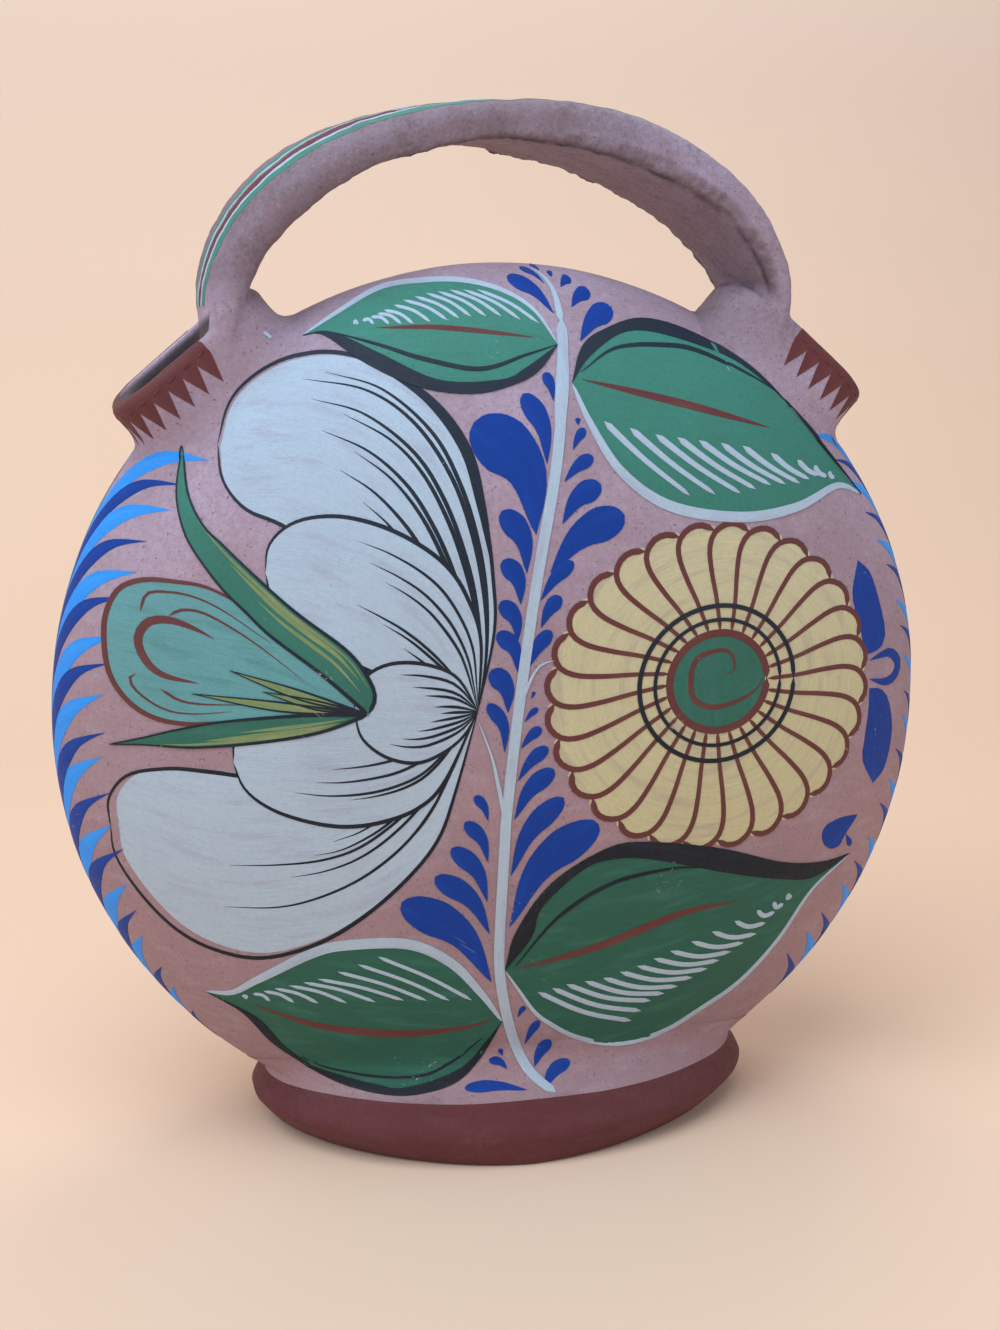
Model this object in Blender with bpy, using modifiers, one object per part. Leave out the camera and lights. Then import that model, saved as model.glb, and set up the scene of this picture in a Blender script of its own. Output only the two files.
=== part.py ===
"""A clay wedding vase: a flat round vessel with two spouts and a strap handle between them.

The body is pressed in a front and a back half, which meet in an upright seam. A roll of clay
is laid into the groove round that seam, a slab closes the body under its cut-off bottom, and
a ring foot carries both. Each spout is a tube cut to a saddle that sits on the body's rim,
and the handle is a strap whose roots are cut to the spouts' mouths.

Metres, +Z up, the front of the vase towards -Y. The origin is on the table, under the middle
of the foot.
"""

import math

import bmesh
import bpy
from mathutils import Matrix, Vector

# Clearance between the faces of two joined pieces
JOINT_GAP = 0.0003

# Body: a disc of revolution about Y, |depth / half depth| ** a + (radius / rim) ** b = 1
BODY_RADIUS = 0.143
BODY_HALF_DEPTH = 0.054
BODY_FACE_POWER = 2.0
BODY_RIM_POWER = 2.45
BODY_WALL = 0.007
BASE_HALF_WIDTH = 0.0778

# Seam groove round the rim, and the clay roll in it
GROOVE_HALF_WIDTH = 0.0035
GROOVE_DEPTH = 0.004

# Slab that closes the body, and how far it reaches past the body's cut edge
SLAB_THICKNESS = 0.008
SLAB_MARGIN = 0.0005
RECESS_HEIGHT = 0.0077

# Ring foot
FOOT_END_REACH = 0.0073
FOOT_FRONT_REACH = 0.0226
FOOT_POWER = 2.0
FOOT_RIDGE_HEIGHT = 0.011
FOOT_SHOULDER_HEIGHT = 0.021
FOOT_TOP_HEIGHT = 0.031
FOOT_BOTTOM_INSET = 0.0015
FOOT_SHOULDER_INSET = 0.003
FOOT_EDGE_RADIUS = 0.0012
FOOT_RIM_WIDTH = 0.010
FOOT_LEDGE = 0.004

# Spouts: superellipse tubes that point away from the body's centre
SPOUT_TILT = math.radians(40.0)
SPOUT_RISE = 0.0107
SPOUT_WIDTH = 0.057
SPOUT_DEPTH = 0.047
SPOUT_WALL = 0.0075
SPOUT_POWER = 3.2
LIP_RADIUS = 0.0022

# Strap handle: its clear rise over the seats, its section at the top and at the roots, and
# how far its root stands in from the mouth's inner end
HANDLE_RISE = 0.050
HANDLE_THICKNESS = 0.0125
HANDLE_SHOULDER_THICKNESS = 0.0155
HANDLE_BULGE_INWARD = 0.8
HANDLE_TOP_WIDTH = 0.038
HANDLE_ROOT_WIDTH = 0.0445
HANDLE_INSET = 0.0035
HANDLE_ARCH_POWER = 1.85
HANDLE_CROWN_POWER = 2.5
HANDLE_UNDERSIDE_POWER = 7.0
HANDLE_ROOT_POWER = 3.0
HANDLE_CROWN_SHARE = 0.65
TONGUE_DEPTH = 0.014

# Faces round each form
BODY_SIDES = 64
BODY_FACE_STEPS = 12
FOOT_SIDES = 48
SPOUT_SIDES = 32
LIP_STEPS = 4
HANDLE_SIDES = 20
HANDLE_STEPS = 18

# How far a cutter runs past what it cuts
CUTTER_REACH = 0.02
SHARP_ANGLE = math.radians(32.0)
MERGE_DISTANCE = 0.00001

# Colour and roughness of each finish
PINK_SLIP = ((0.44, 0.25, 0.23), 0.72)
MAROON_SLIP = ((0.105, 0.026, 0.028), 0.62)
BARE_CLAY = ((0.30, 0.15, 0.11), 0.85)

# Heights and lengths that follow from the sizes above
SLAB_TOP = RECESS_HEIGHT + SLAB_THICKNESS
BODY_CUT = SLAB_TOP + JOINT_GAP
BODY_CENTRE = BODY_CUT + math.sqrt(BODY_RADIUS**2 - BASE_HALF_WIDTH**2)
LIP_REACH = BODY_RADIUS + SPOUT_RISE


def body_depth_at(radius, grow=0.0):
    """Half depth of the body at this radius, with its surface moved out by grow."""
    share = min(radius / (BODY_RADIUS + grow), 1.0)
    return (BODY_HALF_DEPTH + grow) * (1.0 - share**BODY_RIM_POWER) ** (1.0 / BODY_FACE_POWER)


def body_radius_at(depth, grow=0.0):
    """Radius of the body at this distance from the seam plane."""
    share = min(abs(depth) / (BODY_HALF_DEPTH + grow), 1.0)
    return (BODY_RADIUS + grow) * (1.0 - share**BODY_FACE_POWER) ** (1.0 / BODY_RIM_POWER)


def dome_points(start_depth, grow=0.0):
    """(radius, depth) from the pole of the body's face down to start_depth above the seam."""
    first = math.asin((start_depth / (BODY_HALF_DEPTH + grow)) ** (BODY_FACE_POWER / 2.0))
    points = []
    for step in range(BODY_FACE_STEPS + 1):
        angle = math.pi / 2 + (first - math.pi / 2) * step / BODY_FACE_STEPS
        depth = (BODY_HALF_DEPTH + grow) * math.sin(angle) ** (2.0 / BODY_FACE_POWER)
        points.append((body_radius_at(depth, grow), depth))
    points[0] = (0.0, BODY_HALF_DEPTH + grow)
    return points


def superellipse(half_x, half_y, power, sides):
    """Points round a superellipse, anticlockwise from +X."""
    points = []
    for step in range(sides):
        angle = 2.0 * math.pi * step / sides
        cos, sin = math.cos(angle), math.sin(angle)
        x = half_x * math.copysign(abs(cos) ** (2.0 / power), cos)
        y = half_y * math.copysign(abs(sin) ** (2.0 / power), sin)
        points.append((x, y))
    return points


def clear_scene():
    for obj in list(bpy.data.objects):
        bpy.data.objects.remove(obj, do_unlink=True)


def new_collection(name):
    collection = bpy.data.collections.new(name)
    bpy.context.scene.collection.children.link(collection)
    return collection


def new_material(name, colour, roughness):
    material = bpy.data.materials.new(name)
    material.use_nodes = True
    shader = material.node_tree.nodes["Principled BSDF"]
    shader.inputs["Base Color"].default_value = (*colour, 1.0)
    shader.inputs["Roughness"].default_value = roughness
    shader.inputs["Metallic"].default_value = 0.0
    material.diffuse_color = (*colour, 1.0)
    return material


def new_object(name, mesh, collection, material=None):
    obj = bpy.data.objects.new(name, mesh)
    collection.objects.link(obj)
    if material:
        mesh.materials.clear()
        mesh.materials.append(material)
    return obj


def profile_mesh(name, points, closed=False):
    """A line of (radius, height) points in the XZ plane, for a Screw modifier."""
    bm = bmesh.new()
    verts = [bm.verts.new((x, 0.0, z)) for x, z in points]
    pairs = list(zip(verts, verts[1:]))
    if closed:
        pairs.append((verts[-1], verts[0]))
    for pair in pairs:
        bm.edges.new(pair)
    mesh = bpy.data.meshes.new(name)
    bm.to_mesh(mesh)
    bm.free()
    return mesh


def turn(obj):
    """Revolves the object's profile about its own Z axis."""
    screw = obj.modifiers.new("turned", "SCREW")
    screw.axis = "Z"
    screw.steps = BODY_SIDES
    screw.render_steps = BODY_SIDES
    screw.use_merge_vertices = True
    screw.merge_threshold = MERGE_DISTANCE


def lofted_mesh(name, rings, joined_ends=False, open_start=False):
    """A skin over rings of points, all with as many points and in the same order.

    joined_ends carries the skin from the last ring back to the first. Otherwise both ends
    are capped, but open_start leaves the first one open for a Mirror modifier.
    """
    bm = bmesh.new()
    loops = [[bm.verts.new(point) for point in ring] for ring in rings]
    pairs = list(zip(loops, loops[1:]))
    if joined_ends:
        pairs.append((loops[-1], loops[0]))
    for lower, upper in pairs:
        for index in range(len(lower)):
            after = (index + 1) % len(lower)
            bm.faces.new((lower[index], lower[after], upper[after], upper[index]))
    if not joined_ends:
        bm.faces.new(loops[-1])
        if not open_start:
            bm.faces.new(loops[0])
    bmesh.ops.recalc_face_normals(bm, faces=bm.faces)
    mesh = bpy.data.meshes.new(name)
    bm.to_mesh(mesh)
    bm.free()
    return mesh


def box_mesh(name, low, high, place=None):
    """A cube stretched to these two corners, then moved by the matrix place."""
    bm = bmesh.new()
    bmesh.ops.create_cube(bm, size=1.0)
    low, high = Vector(low), Vector(high)
    stretch = Matrix.Diagonal((*(high - low), 1.0))
    matrix = Matrix.Translation((low + high) / 2.0) @ stretch
    bm.transform((place or Matrix.Identity(4)) @ matrix)
    mesh = bpy.data.meshes.new(name)
    bm.to_mesh(mesh)
    bm.free()
    return mesh


def new_cutter(name, mesh):
    obj = new_object(name, mesh, cutters)
    obj.hide_render = True
    obj.display_type = "WIRE"
    return obj


def boolean(obj, operation, other):
    modifier = obj.modifiers.new(other.name, "BOOLEAN")
    modifier.operation = operation
    modifier.object = other
    modifier.solver = "EXACT"


def face_forward(obj):
    """Turns a shape about Z into one about Y, with its top towards the front."""
    obj.location = (0.0, 0.0, BODY_CENTRE)
    obj.rotation_euler = (math.pi / 2, 0.0, 0.0)


def face_backward(obj):
    obj.location = (0.0, 0.0, BODY_CENTRE)
    obj.rotation_euler = (-math.pi / 2, 0.0, 0.0)


def groove_clearance():
    """How far the roll's edge lies inside the groove's, along the depth and the radius."""
    rise = body_radius_at(GROOVE_HALF_WIDTH) - (BODY_RADIUS - GROOVE_DEPTH)
    run = GROOVE_HALF_WIDTH - JOINT_GAP / 2
    slant = math.hypot(rise, run)
    return JOINT_GAP * slant / rise, JOINT_GAP * slant / run


def half_profile():
    """Outer face, seam groove, land and inner face of one body half, from pole to pole."""
    land = JOINT_GAP / 2
    outer = dome_points(GROOVE_HALF_WIDTH)
    inner = dome_points(land, -BODY_WALL)
    return outer + [(BODY_RADIUS - GROOVE_DEPTH, land)] + inner[::-1]


def full_body_mesh(name, grow):
    """The whole disc without its hollow, for cutting what sits on it."""
    face = dome_points(JOINT_GAP, grow)
    rim = [(BODY_RADIUS + grow, 0.0)]
    under = [(radius, -depth) for radius, depth in face[::-1]]
    return profile_mesh(name, face + rim + under)


def body_outline(height, margin):
    """The body's outline where a level plane cuts it, with its half sizes grown by margin."""
    drop = BODY_CENTRE - height
    half_width = math.sqrt(BODY_RADIUS**2 - drop**2)
    half_depth = body_depth_at(drop)
    points = []
    for step in range(FOOT_SIDES):
        angle = 2.0 * math.pi * step / FOOT_SIDES
        x = half_width * math.cos(angle)
        depth = body_depth_at(math.hypot(x, drop))
        y = math.copysign(depth, math.sin(angle)) if step % (FOOT_SIDES // 2) else 0.0
        points.append((x * (1 + margin / half_width), y * (1 + margin / half_depth)))
    return points


def at_height(points, height):
    return [(x, y, height) for x, y in points]


def spout_ring(inset, height):
    """The spout's outline at this distance from the body's centre, drawn in by inset."""
    half_x, half_y = SPOUT_WIDTH / 2 - inset, SPOUT_DEPTH / 2 - inset
    return at_height(superellipse(half_x, half_y, SPOUT_POWER, SPOUT_SIDES), height)


def spout_bottom():
    """How near the centre a spout's tube and its bore begin, well inside the body's wall."""
    return body_radius_at(SPOUT_DEPTH / 2, -BODY_WALL) - CUTTER_REACH / 2


def spout_rings():
    """Up the outside of the spout, over its rounded lip and down its bore."""
    corner = []
    for step in range(LIP_STEPS + 1):
        angle = math.pi / 2 * step / LIP_STEPS
        corner.append((LIP_RADIUS * (1.0 - math.cos(angle)), LIP_RADIUS * (1.0 - math.sin(angle))))
    rings = [spout_ring(0.0, spout_bottom())]
    rings += [spout_ring(across, LIP_REACH - drop) for across, drop in corner]
    rings += [spout_ring(SPOUT_WALL - across, LIP_REACH - drop) for across, drop in corner[::-1]]
    rings.append(spout_ring(SPOUT_WALL, spout_bottom()))
    return rings


def place_on_spout(obj, side):
    """Puts an object made about Z on a spout's axis, through the centre of the body."""
    obj.location = (0.0, 0.0, BODY_CENTRE)
    obj.rotation_euler = (0.0, side * SPOUT_TILT, 0.0)


def bore_mesh(name, inset, top):
    return lofted_mesh(name, [spout_ring(inset, spout_bottom()), spout_ring(inset, top)])


def handle_inner_span():
    """Half the clear width between the handle's legs."""
    mouth_end = LIP_REACH * math.sin(SPOUT_TILT) - SPOUT_WIDTH / 2 * math.cos(SPOUT_TILT)
    return mouth_end + HANDLE_INSET


def handle_mouth_edge():
    """Where the handle's outer face meets the mouth, along the mouth from the spout's axis."""
    outer = handle_inner_span() + HANDLE_THICKNESS
    return (outer - LIP_REACH * math.sin(SPOUT_TILT)) / math.cos(SPOUT_TILT)


def handle_spring_height():
    """Height of the middle of the handle's seat on the mouth, where the arch begins."""
    middle = (handle_mouth_edge() - SPOUT_WIDTH / 2) / 2
    return BODY_CENTRE + LIP_REACH * math.cos(SPOUT_TILT) - middle * math.sin(SPOUT_TILT)


def handle_section(root_share):
    """(across, outward) points of the strap, from its top (0) to its root (1).

    The strap is thickest at its shoulders, half way down, mostly on its underside.
    """
    bulge = (HANDLE_SHOULDER_THICKNESS - HANDLE_THICKNESS) * math.sin(math.pi * root_share)
    thickness = HANDLE_THICKNESS + bulge
    outer = HANDLE_THICKNESS / 2 + bulge * (1.0 - HANDLE_BULGE_INWARD)
    top_half, root_half = HANDLE_TOP_WIDTH / 2, HANDLE_ROOT_WIDTH / 2
    half_width = top_half + (root_half - top_half) * root_share
    under_power = HANDLE_UNDERSIDE_POWER
    under_power += (HANDLE_ROOT_POWER - HANDLE_UNDERSIDE_POWER) * root_share
    crown = thickness * HANDLE_CROWN_SHARE
    under = thickness - crown
    middle = outer - crown
    points = []
    for step in range(HANDLE_SIDES):
        angle = 2.0 * math.pi * step / HANDLE_SIDES
        cos, sin = math.cos(angle), math.sin(angle)
        power = HANDLE_CROWN_POWER if sin >= 0 else under_power
        reach = crown if sin >= 0 else under
        across = half_width * math.copysign(abs(cos) ** (2.0 / power), cos)
        outward = middle + reach * math.copysign(abs(sin) ** (2.0 / power), sin)
        points.append((across, outward))
    return points


def handle_ring(centre, normal, root_share):
    """The strap's section at centre, (x, z), with its outer face towards normal."""
    ring = []
    for across, outward in handle_section(root_share):
        ring.append((centre[0] + normal[0] * outward, across, centre[1] + normal[1] * outward))
    return ring


def handle_rings():
    """Half of the arch, from its top at X = 0 down to below its seat on the mouth."""
    span = handle_inner_span() + HANDLE_THICKNESS / 2
    rise = HANDLE_RISE + HANDLE_THICKNESS / 2
    spring = handle_spring_height()
    power = HANDLE_ARCH_POWER
    rings = []
    for step in range(HANDLE_STEPS + 1):
        share = step / HANDLE_STEPS
        angle = math.pi / 2 * (1.0 - share)
        x = span * math.cos(angle) ** (2.0 / power) if step else 0.0
        z = rise * math.sin(angle) ** (2.0 / power) if step < HANDLE_STEPS else 0.0
        normal = Vector((x ** (power - 1) / span**power, z ** (power - 1) / rise**power))
        normal.normalize()
        rings.append(handle_ring((x, spring + z), normal, share))
    leg_end = spring - SPOUT_WIDTH / 2 - TONGUE_DEPTH
    rings.append(handle_ring((span, leg_end), Vector((1.0, 0.0)), 1.0))
    return rings


def tongue_limit(side):
    """A block over the slope that ends the handle's tongue inside the spout's bore."""
    edge = handle_mouth_edge()
    bore_half = SPOUT_WIDTH / 2 - SPOUT_WALL
    slope = math.atan2(TONGUE_DEPTH, edge + bore_half)
    place = Matrix.Translation((side * edge, 0.0, LIP_REACH)) @ Matrix.Rotation(-side * slope, 4, "Y")
    low = (-SPOUT_WIDTH, -SPOUT_DEPTH, 0.0)
    high = (SPOUT_WIDTH, SPOUT_DEPTH, SPOUT_WIDTH)
    limit = new_cutter(f"tongue_limit_{side}", box_mesh("tongue_limit", low, high, place))
    place_on_spout(limit, side)
    return limit


def handle_seat(side):
    """Everything under the mouth's plane but the tongue, to be cut off the handle."""
    plug = new_cutter(
        f"tongue_{side}",
        bore_mesh("tongue", SPOUT_WALL + JOINT_GAP, LIP_REACH + CUTTER_REACH),
    )
    place_on_spout(plug, side)
    boolean(plug, "INTERSECT", tongue_limit(side))
    low = (-SPOUT_WIDTH, -SPOUT_DEPTH, spout_bottom() - CUTTER_REACH)
    high = (SPOUT_WIDTH, SPOUT_DEPTH, LIP_REACH + JOINT_GAP)
    seat = new_cutter(f"handle_seat_{side}", box_mesh("handle_seat", low, high))
    place_on_spout(seat, side)
    boolean(seat, "DIFFERENCE", plug)
    return seat


def make_cutters():
    """The cutters that more than one piece uses: the body's outside, its base and the bores."""
    solid = new_cutter("body_outside", full_body_mesh("body_outside", JOINT_GAP))
    face_forward(solid)
    turn(solid)
    reach = BODY_RADIUS + CUTTER_REACH
    low, high = (-reach, -reach, -reach), (reach, reach, BODY_CUT)
    base = new_cutter("below_the_cut", box_mesh("below_the_cut", low, high))
    bores = []
    for side in (-1, 1):
        bore = new_cutter(
            f"bore_{side}", bore_mesh("bore", SPOUT_WALL, LIP_REACH + CUTTER_REACH)
        )
        place_on_spout(bore, side)
        bores.append(bore)
    return solid, base, bores


def make_body_halves(base, bores):
    """Both pressed halves, open at the seam, the base and the two mouths."""
    halves = []
    for name, turn_round in (
        ("front_body_half", face_forward),
        ("back_body_half", face_backward),
    ):
        half = new_object(name, profile_mesh(name, half_profile()), parts, pink_clay)
        turn_round(half)
        turn(half)
        for cutter in (base, *bores):
            boolean(half, "DIFFERENCE", cutter)
        halves.append(half)
    return halves


def make_seam_rolls(base, bores):
    """The roll of clay in the seam groove, in the three lengths that spouts and foot leave."""
    off_edge, off_tip = groove_clearance()
    edge = GROOVE_HALF_WIDTH - off_edge
    tip = BODY_RADIUS - GROOVE_DEPTH + off_tip * (1 - JOINT_GAP / (2 * off_edge))
    section = [
        (body_radius_at(edge), edge),
        (BODY_RADIUS, 0.0),
        (body_radius_at(edge), -edge),
        (tip, 0.0),
    ]
    reach = BODY_RADIUS + CUTTER_REACH
    split = BODY_CENTRE + BODY_RADIUS * math.cos(SPOUT_TILT)
    above = BODY_CENTRE + reach
    keeps = {
        "seam_roll_top": ((-reach, -reach, split), (reach, reach, above)),
        "seam_roll_left": ((-reach, -reach, 0.0), (0.0, reach, split)),
        "seam_roll_right": ((0.0, -reach, 0.0), (reach, reach, split)),
    }
    rolls = []
    for name, (low, high) in keeps.items():
        roll = new_object(name, profile_mesh(name, section, closed=True), parts, bare_clay)
        face_forward(roll)
        turn(roll)
        keep = new_cutter(f"length_of_{name}", box_mesh(name, low, high))
        boolean(roll, "INTERSECT", keep)
        for cutter in (base, *bores):
            boolean(roll, "DIFFERENCE", cutter)
        rolls.append(roll)
    return rolls


def make_slab():
    """The slab under the body's cut edge."""
    outline = body_outline(BODY_CUT, SLAB_MARGIN)
    rings = [at_height(outline, RECESS_HEIGHT), at_height(outline, SLAB_TOP)]
    return new_object("base_slab", lofted_mesh("base_slab", rings), parts, bare_clay)


def foot_outline(inset):
    """The foot's outer outline, drawn in from its ridge by inset."""
    half_width = BASE_HALF_WIDTH + SLAB_MARGIN + FOOT_END_REACH - inset
    half_depth = body_depth_at(BODY_CENTRE - BODY_CUT) + SLAB_MARGIN + FOOT_FRONT_REACH - inset
    return superellipse(half_width, half_depth, FOOT_POWER, FOOT_SIDES)


def make_foot(body_outside):
    """The ring foot: outside, shoulder, pocket for the slab, ledge under it and recess."""
    pocket = body_outline(BODY_CUT, SLAB_MARGIN + JOINT_GAP)
    ledge = body_outline(BODY_CUT, SLAB_MARGIN - FOOT_LEDGE)
    ledge_height = RECESS_HEIGHT - JOINT_GAP
    inner_inset = FOOT_BOTTOM_INSET + FOOT_RIM_WIDTH
    rings = [
        at_height(foot_outline(FOOT_BOTTOM_INSET + FOOT_EDGE_RADIUS), 0.0),
        at_height(foot_outline(FOOT_BOTTOM_INSET), FOOT_EDGE_RADIUS),
        at_height(foot_outline(0.0), FOOT_RIDGE_HEIGHT),
        at_height(foot_outline(FOOT_SHOULDER_INSET), FOOT_SHOULDER_HEIGHT),
        at_height(pocket, FOOT_TOP_HEIGHT),
        at_height(pocket, ledge_height),
        at_height(ledge, ledge_height),
        at_height(foot_outline(inner_inset), FOOT_EDGE_RADIUS),
        at_height(foot_outline(inner_inset - FOOT_EDGE_RADIUS), 0.0),
    ]
    mesh = lofted_mesh("foot_ring", rings, joined_ends=True)
    foot = new_object("foot_ring", mesh, parts, foot_paint)
    boolean(foot, "DIFFERENCE", body_outside)
    return foot


def make_spouts(body_outside):
    """Both spouts, each cut underneath to the saddle that fits the body's rim."""
    spouts = []
    for name, side in (("left_spout", -1), ("right_spout", 1)):
        mesh = lofted_mesh(name, spout_rings(), joined_ends=True)
        spout = new_object(name, mesh, parts, pink_clay)
        place_on_spout(spout, side)
        boolean(spout, "DIFFERENCE", body_outside)
        spouts.append(spout)
    return spouts


def make_handle():
    """The strap handle, cut at both roots to the mouths that it sits on."""
    mesh = lofted_mesh("handle", handle_rings(), open_start=True)
    handle = new_object("handle", mesh, parts, pink_clay)
    mirror = handle.modifiers.new("other half", "MIRROR")
    mirror.use_axis = (True, False, False)
    mirror.merge_threshold = MERGE_DISTANCE
    for side in (-1, 1):
        boolean(handle, "DIFFERENCE", handle_seat(side))
    return handle


def finish_pieces(pieces):
    """Makes each piece's modifiers final, shades it smooth and parents it to one empty."""
    vase = bpy.data.objects.new("wedding_vase", None)
    parts.objects.link(vase)
    bpy.context.view_layer.update()
    graph = bpy.context.evaluated_depsgraph_get()
    made = [bpy.data.meshes.new_from_object(piece.evaluated_get(graph)) for piece in pieces]
    for piece, mesh in zip(pieces, made):
        piece.modifiers.clear()
        piece.data = mesh
        mesh.name = piece.name
        mesh.shade_smooth()
        mesh.set_sharp_from_angle(angle=SHARP_ANGLE)
        piece.parent = vase


clear_scene()
parts = new_collection("wedding vase")
cutters = new_collection("cutters")
pink_clay = new_material("pink slip on clay", *PINK_SLIP)
foot_paint = new_material("maroon foot paint", *MAROON_SLIP)
bare_clay = new_material("bare clay", *BARE_CLAY)

outside, base_cut, mouth_bores = make_cutters()
all_pieces = [
    *make_body_halves(base_cut, mouth_bores),
    *make_seam_rolls(base_cut, mouth_bores),
    make_slab(),
    make_foot(outside),
    *make_spouts(outside),
    make_handle(),
]
finish_pieces(all_pieces)
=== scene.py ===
"""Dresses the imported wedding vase: hand-smeared clay forms with brushed slip paint on them.

The frame's solids give every place. The clay forms here are finer skins over the same sizes,
and each colour of paint is a thin skin of its own, laid on the clay stroke by stroke. Marks on
the two faces are given in millimetres: x from the vase's middle, z above the table.
"""

import logging
import math
from dataclasses import dataclass, field
from enum import Enum
from typing import Callable, Sequence

import bpy
import numpy as np
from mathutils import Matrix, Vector, noise
from mathutils.bvhtree import BVHTree


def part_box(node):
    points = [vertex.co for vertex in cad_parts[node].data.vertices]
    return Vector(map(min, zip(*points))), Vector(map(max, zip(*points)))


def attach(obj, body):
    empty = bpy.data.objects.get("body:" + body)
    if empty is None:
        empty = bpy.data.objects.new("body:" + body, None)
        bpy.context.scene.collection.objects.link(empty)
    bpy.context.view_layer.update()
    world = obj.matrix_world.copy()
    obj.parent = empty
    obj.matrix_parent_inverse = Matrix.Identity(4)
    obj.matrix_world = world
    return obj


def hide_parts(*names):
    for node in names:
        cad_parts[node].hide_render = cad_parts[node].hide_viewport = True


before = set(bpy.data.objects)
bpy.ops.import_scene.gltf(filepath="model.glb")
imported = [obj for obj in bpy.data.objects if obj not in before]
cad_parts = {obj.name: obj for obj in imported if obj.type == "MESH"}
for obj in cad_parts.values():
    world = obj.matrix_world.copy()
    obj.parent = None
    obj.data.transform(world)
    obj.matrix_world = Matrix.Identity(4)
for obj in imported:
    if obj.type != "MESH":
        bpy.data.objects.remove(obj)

LOG = logging.getLogger("wedding_vase")
MM = 0.001
BODY = "root"
Point = tuple[float, float]
Place = tuple[float, float, float]
Colour = tuple[float, float, float]
Array = np.ndarray
Object, Material = bpy.types.Object, bpy.types.Material
Tree, Node, Socket = bpy.types.NodeTree, bpy.types.Node, bpy.types.NodeSocket

# Size of the grid in which clay pieces grow together, and how far a worn edge of the strap
# reaches, in metres
VOXEL = 0.00085
WORN_EDGE = 0.0011
# How far below its seats the strap begins to show, and over what height, in metres
ROOT_DROP, ROOT_RUN = 0.004, 0.012
# How fine rough clay is, per metre: all over, along torn edges and on the foot
GRAIN, TEAR, FOOT_GRAIN = 170.0, 420.0, 90.0
# Where the back is looked at from when marks are moved onto what stands before it
BACK_EYE: Place = (0.0, 0.6, 0.2)
RUBBED: Colour = (0.52, 0.42, 0.38)
SCRATCHED: Colour = (0.5, 0.47, 0.45)
# Near black: dirt along the strap's worn corners, and painted shade down inside the mouths.
EDGE_DIRT_AND_BORE_SHADE: Colour = (0.04, 0.027, 0.03)


def select_only(*objects: Object) -> None:
    """Selects these objects alone and makes the first one active.

    Args:
        objects: what the next operator acts on.
    """
    bpy.ops.object.select_all(action="DESELECT")
    for obj in objects:
        obj.select_set(True)
    bpy.context.view_layer.objects.active = objects[0]


def apply_all(obj: Object) -> None:
    """Applies every modifier of an object in order.

    Args:
        obj: the object whose modifiers become its mesh.
    """
    select_only(obj)
    for modifier in list(obj.modifiers):
        bpy.ops.object.modifier_apply(modifier=modifier.name)


def tidy_shell(obj: Object, merge: float) -> None:
    """Merges doubled points and turns all faces outwards.

    Args:
        obj: a closed mesh object.
        merge: points nearer than this become one, in metres.
    """
    select_only(obj)
    bpy.ops.object.mode_set(mode="EDIT")
    bpy.ops.mesh.select_all(action="SELECT")
    bpy.ops.mesh.remove_doubles(threshold=merge)
    bpy.ops.mesh.normals_make_consistent(inside=False)
    bpy.ops.object.mode_set(mode="OBJECT")


def mesh_vectors(obj: Object, kind: str = "co") -> Array:
    """Reads a vector for each point of an object.

    Args:
        obj: a mesh object.
        kind: "co" for the point's place, "normal" for the smooth normal there.

    Returns:
        One row of x, y, z for each point.
    """
    flat = np.empty(len(obj.data.vertices) * 3, np.float32)
    obj.data.vertices.foreach_get(kind, flat)
    return flat.reshape(-1, 3).astype(float)


def set_points(obj: Object, points: Array) -> None:
    """Moves an object's points."""
    obj.data.vertices.foreach_set("co", points.astype(np.float32).ravel())
    obj.data.update()


def set_mask(obj: Object, name: str, values: Array) -> None:
    """Stores one number for each point, for the materials to read."""
    attribute = obj.data.attributes.new(name, "FLOAT", "POINT")
    attribute.data.foreach_set("value", np.clip(values, 0.0, 1.0).astype(np.float32))


def new_sheet(name: str, points: Array, uv: Array | None = None) -> Object:
    """Adds a grid and drapes it over rows of points.

    Args:
        name: the new object's name.
        points: rows of points, an array of rows by columns by three.
        uv: the place of each point on the brush mark, along and across, in metres.

    Returns:
        The new object.
    """
    rows, columns = points.shape[:2]
    bpy.ops.mesh.primitive_grid_add(x_subdivisions=columns - 1, y_subdivisions=rows - 1, size=1.0)
    obj = bpy.context.object
    obj.name = name
    obj.data.name = name
    set_points(obj, points.reshape(-1, 3))
    if uv is not None:
        corners = np.empty(len(obj.data.loops), np.int32)
        obj.data.loops.foreach_get("vertex_index", corners)
        layer = obj.data.uv_layers.active
        layer.data.foreach_set("uv", uv.reshape(-1, 2)[corners].astype(np.float32).ravel())
    return obj


def new_shell(name: str, rings: Sequence[Array], joined_ends: bool) -> Object:
    """Wraps a grid round a row of rings and closes its seams.

    Args:
        name: the new object's name.
        rings: rings of points, all with as many points.
        joined_ends: whether the last ring is carried back to the first, or both ends closed.

    Returns:
        The new object, its faces pointing out.
    """
    rows = [*rings, rings[0]]
    if not joined_ends:
        first, last = (np.broadcast_to(rings[i].mean(axis=0), rings[i].shape) for i in (0, -1))
        rows = [first, *rings, last]
    points = np.array([np.vstack([ring, ring[:1]]) for ring in rows])
    obj = new_sheet(name, points)
    tidy_shell(obj, 1e-6)
    return obj


def shade(obj: Object, degrees: float = 35.0) -> None:
    """Shades an object smooth, with its real edges kept."""
    select_only(obj)
    bpy.ops.object.shade_smooth_by_angle(angle=math.radians(degrees))


def coat(obj: Object, *materials: Material) -> None:
    """Gives an object these materials and no others.

    Args:
        obj: a mesh object.
        materials: one for each material slot.
    """
    obj.data.materials.clear()
    for material in materials:
        obj.data.materials.append(material)


def roughness(points: Array, scale: float, octaves: int) -> Array:
    """How high rough clay stands at each point, from about -1 to 1."""
    return np.array([noise.fractal(Vector(p) * scale, 1.0, 2.0, octaves) for p in points])


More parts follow.
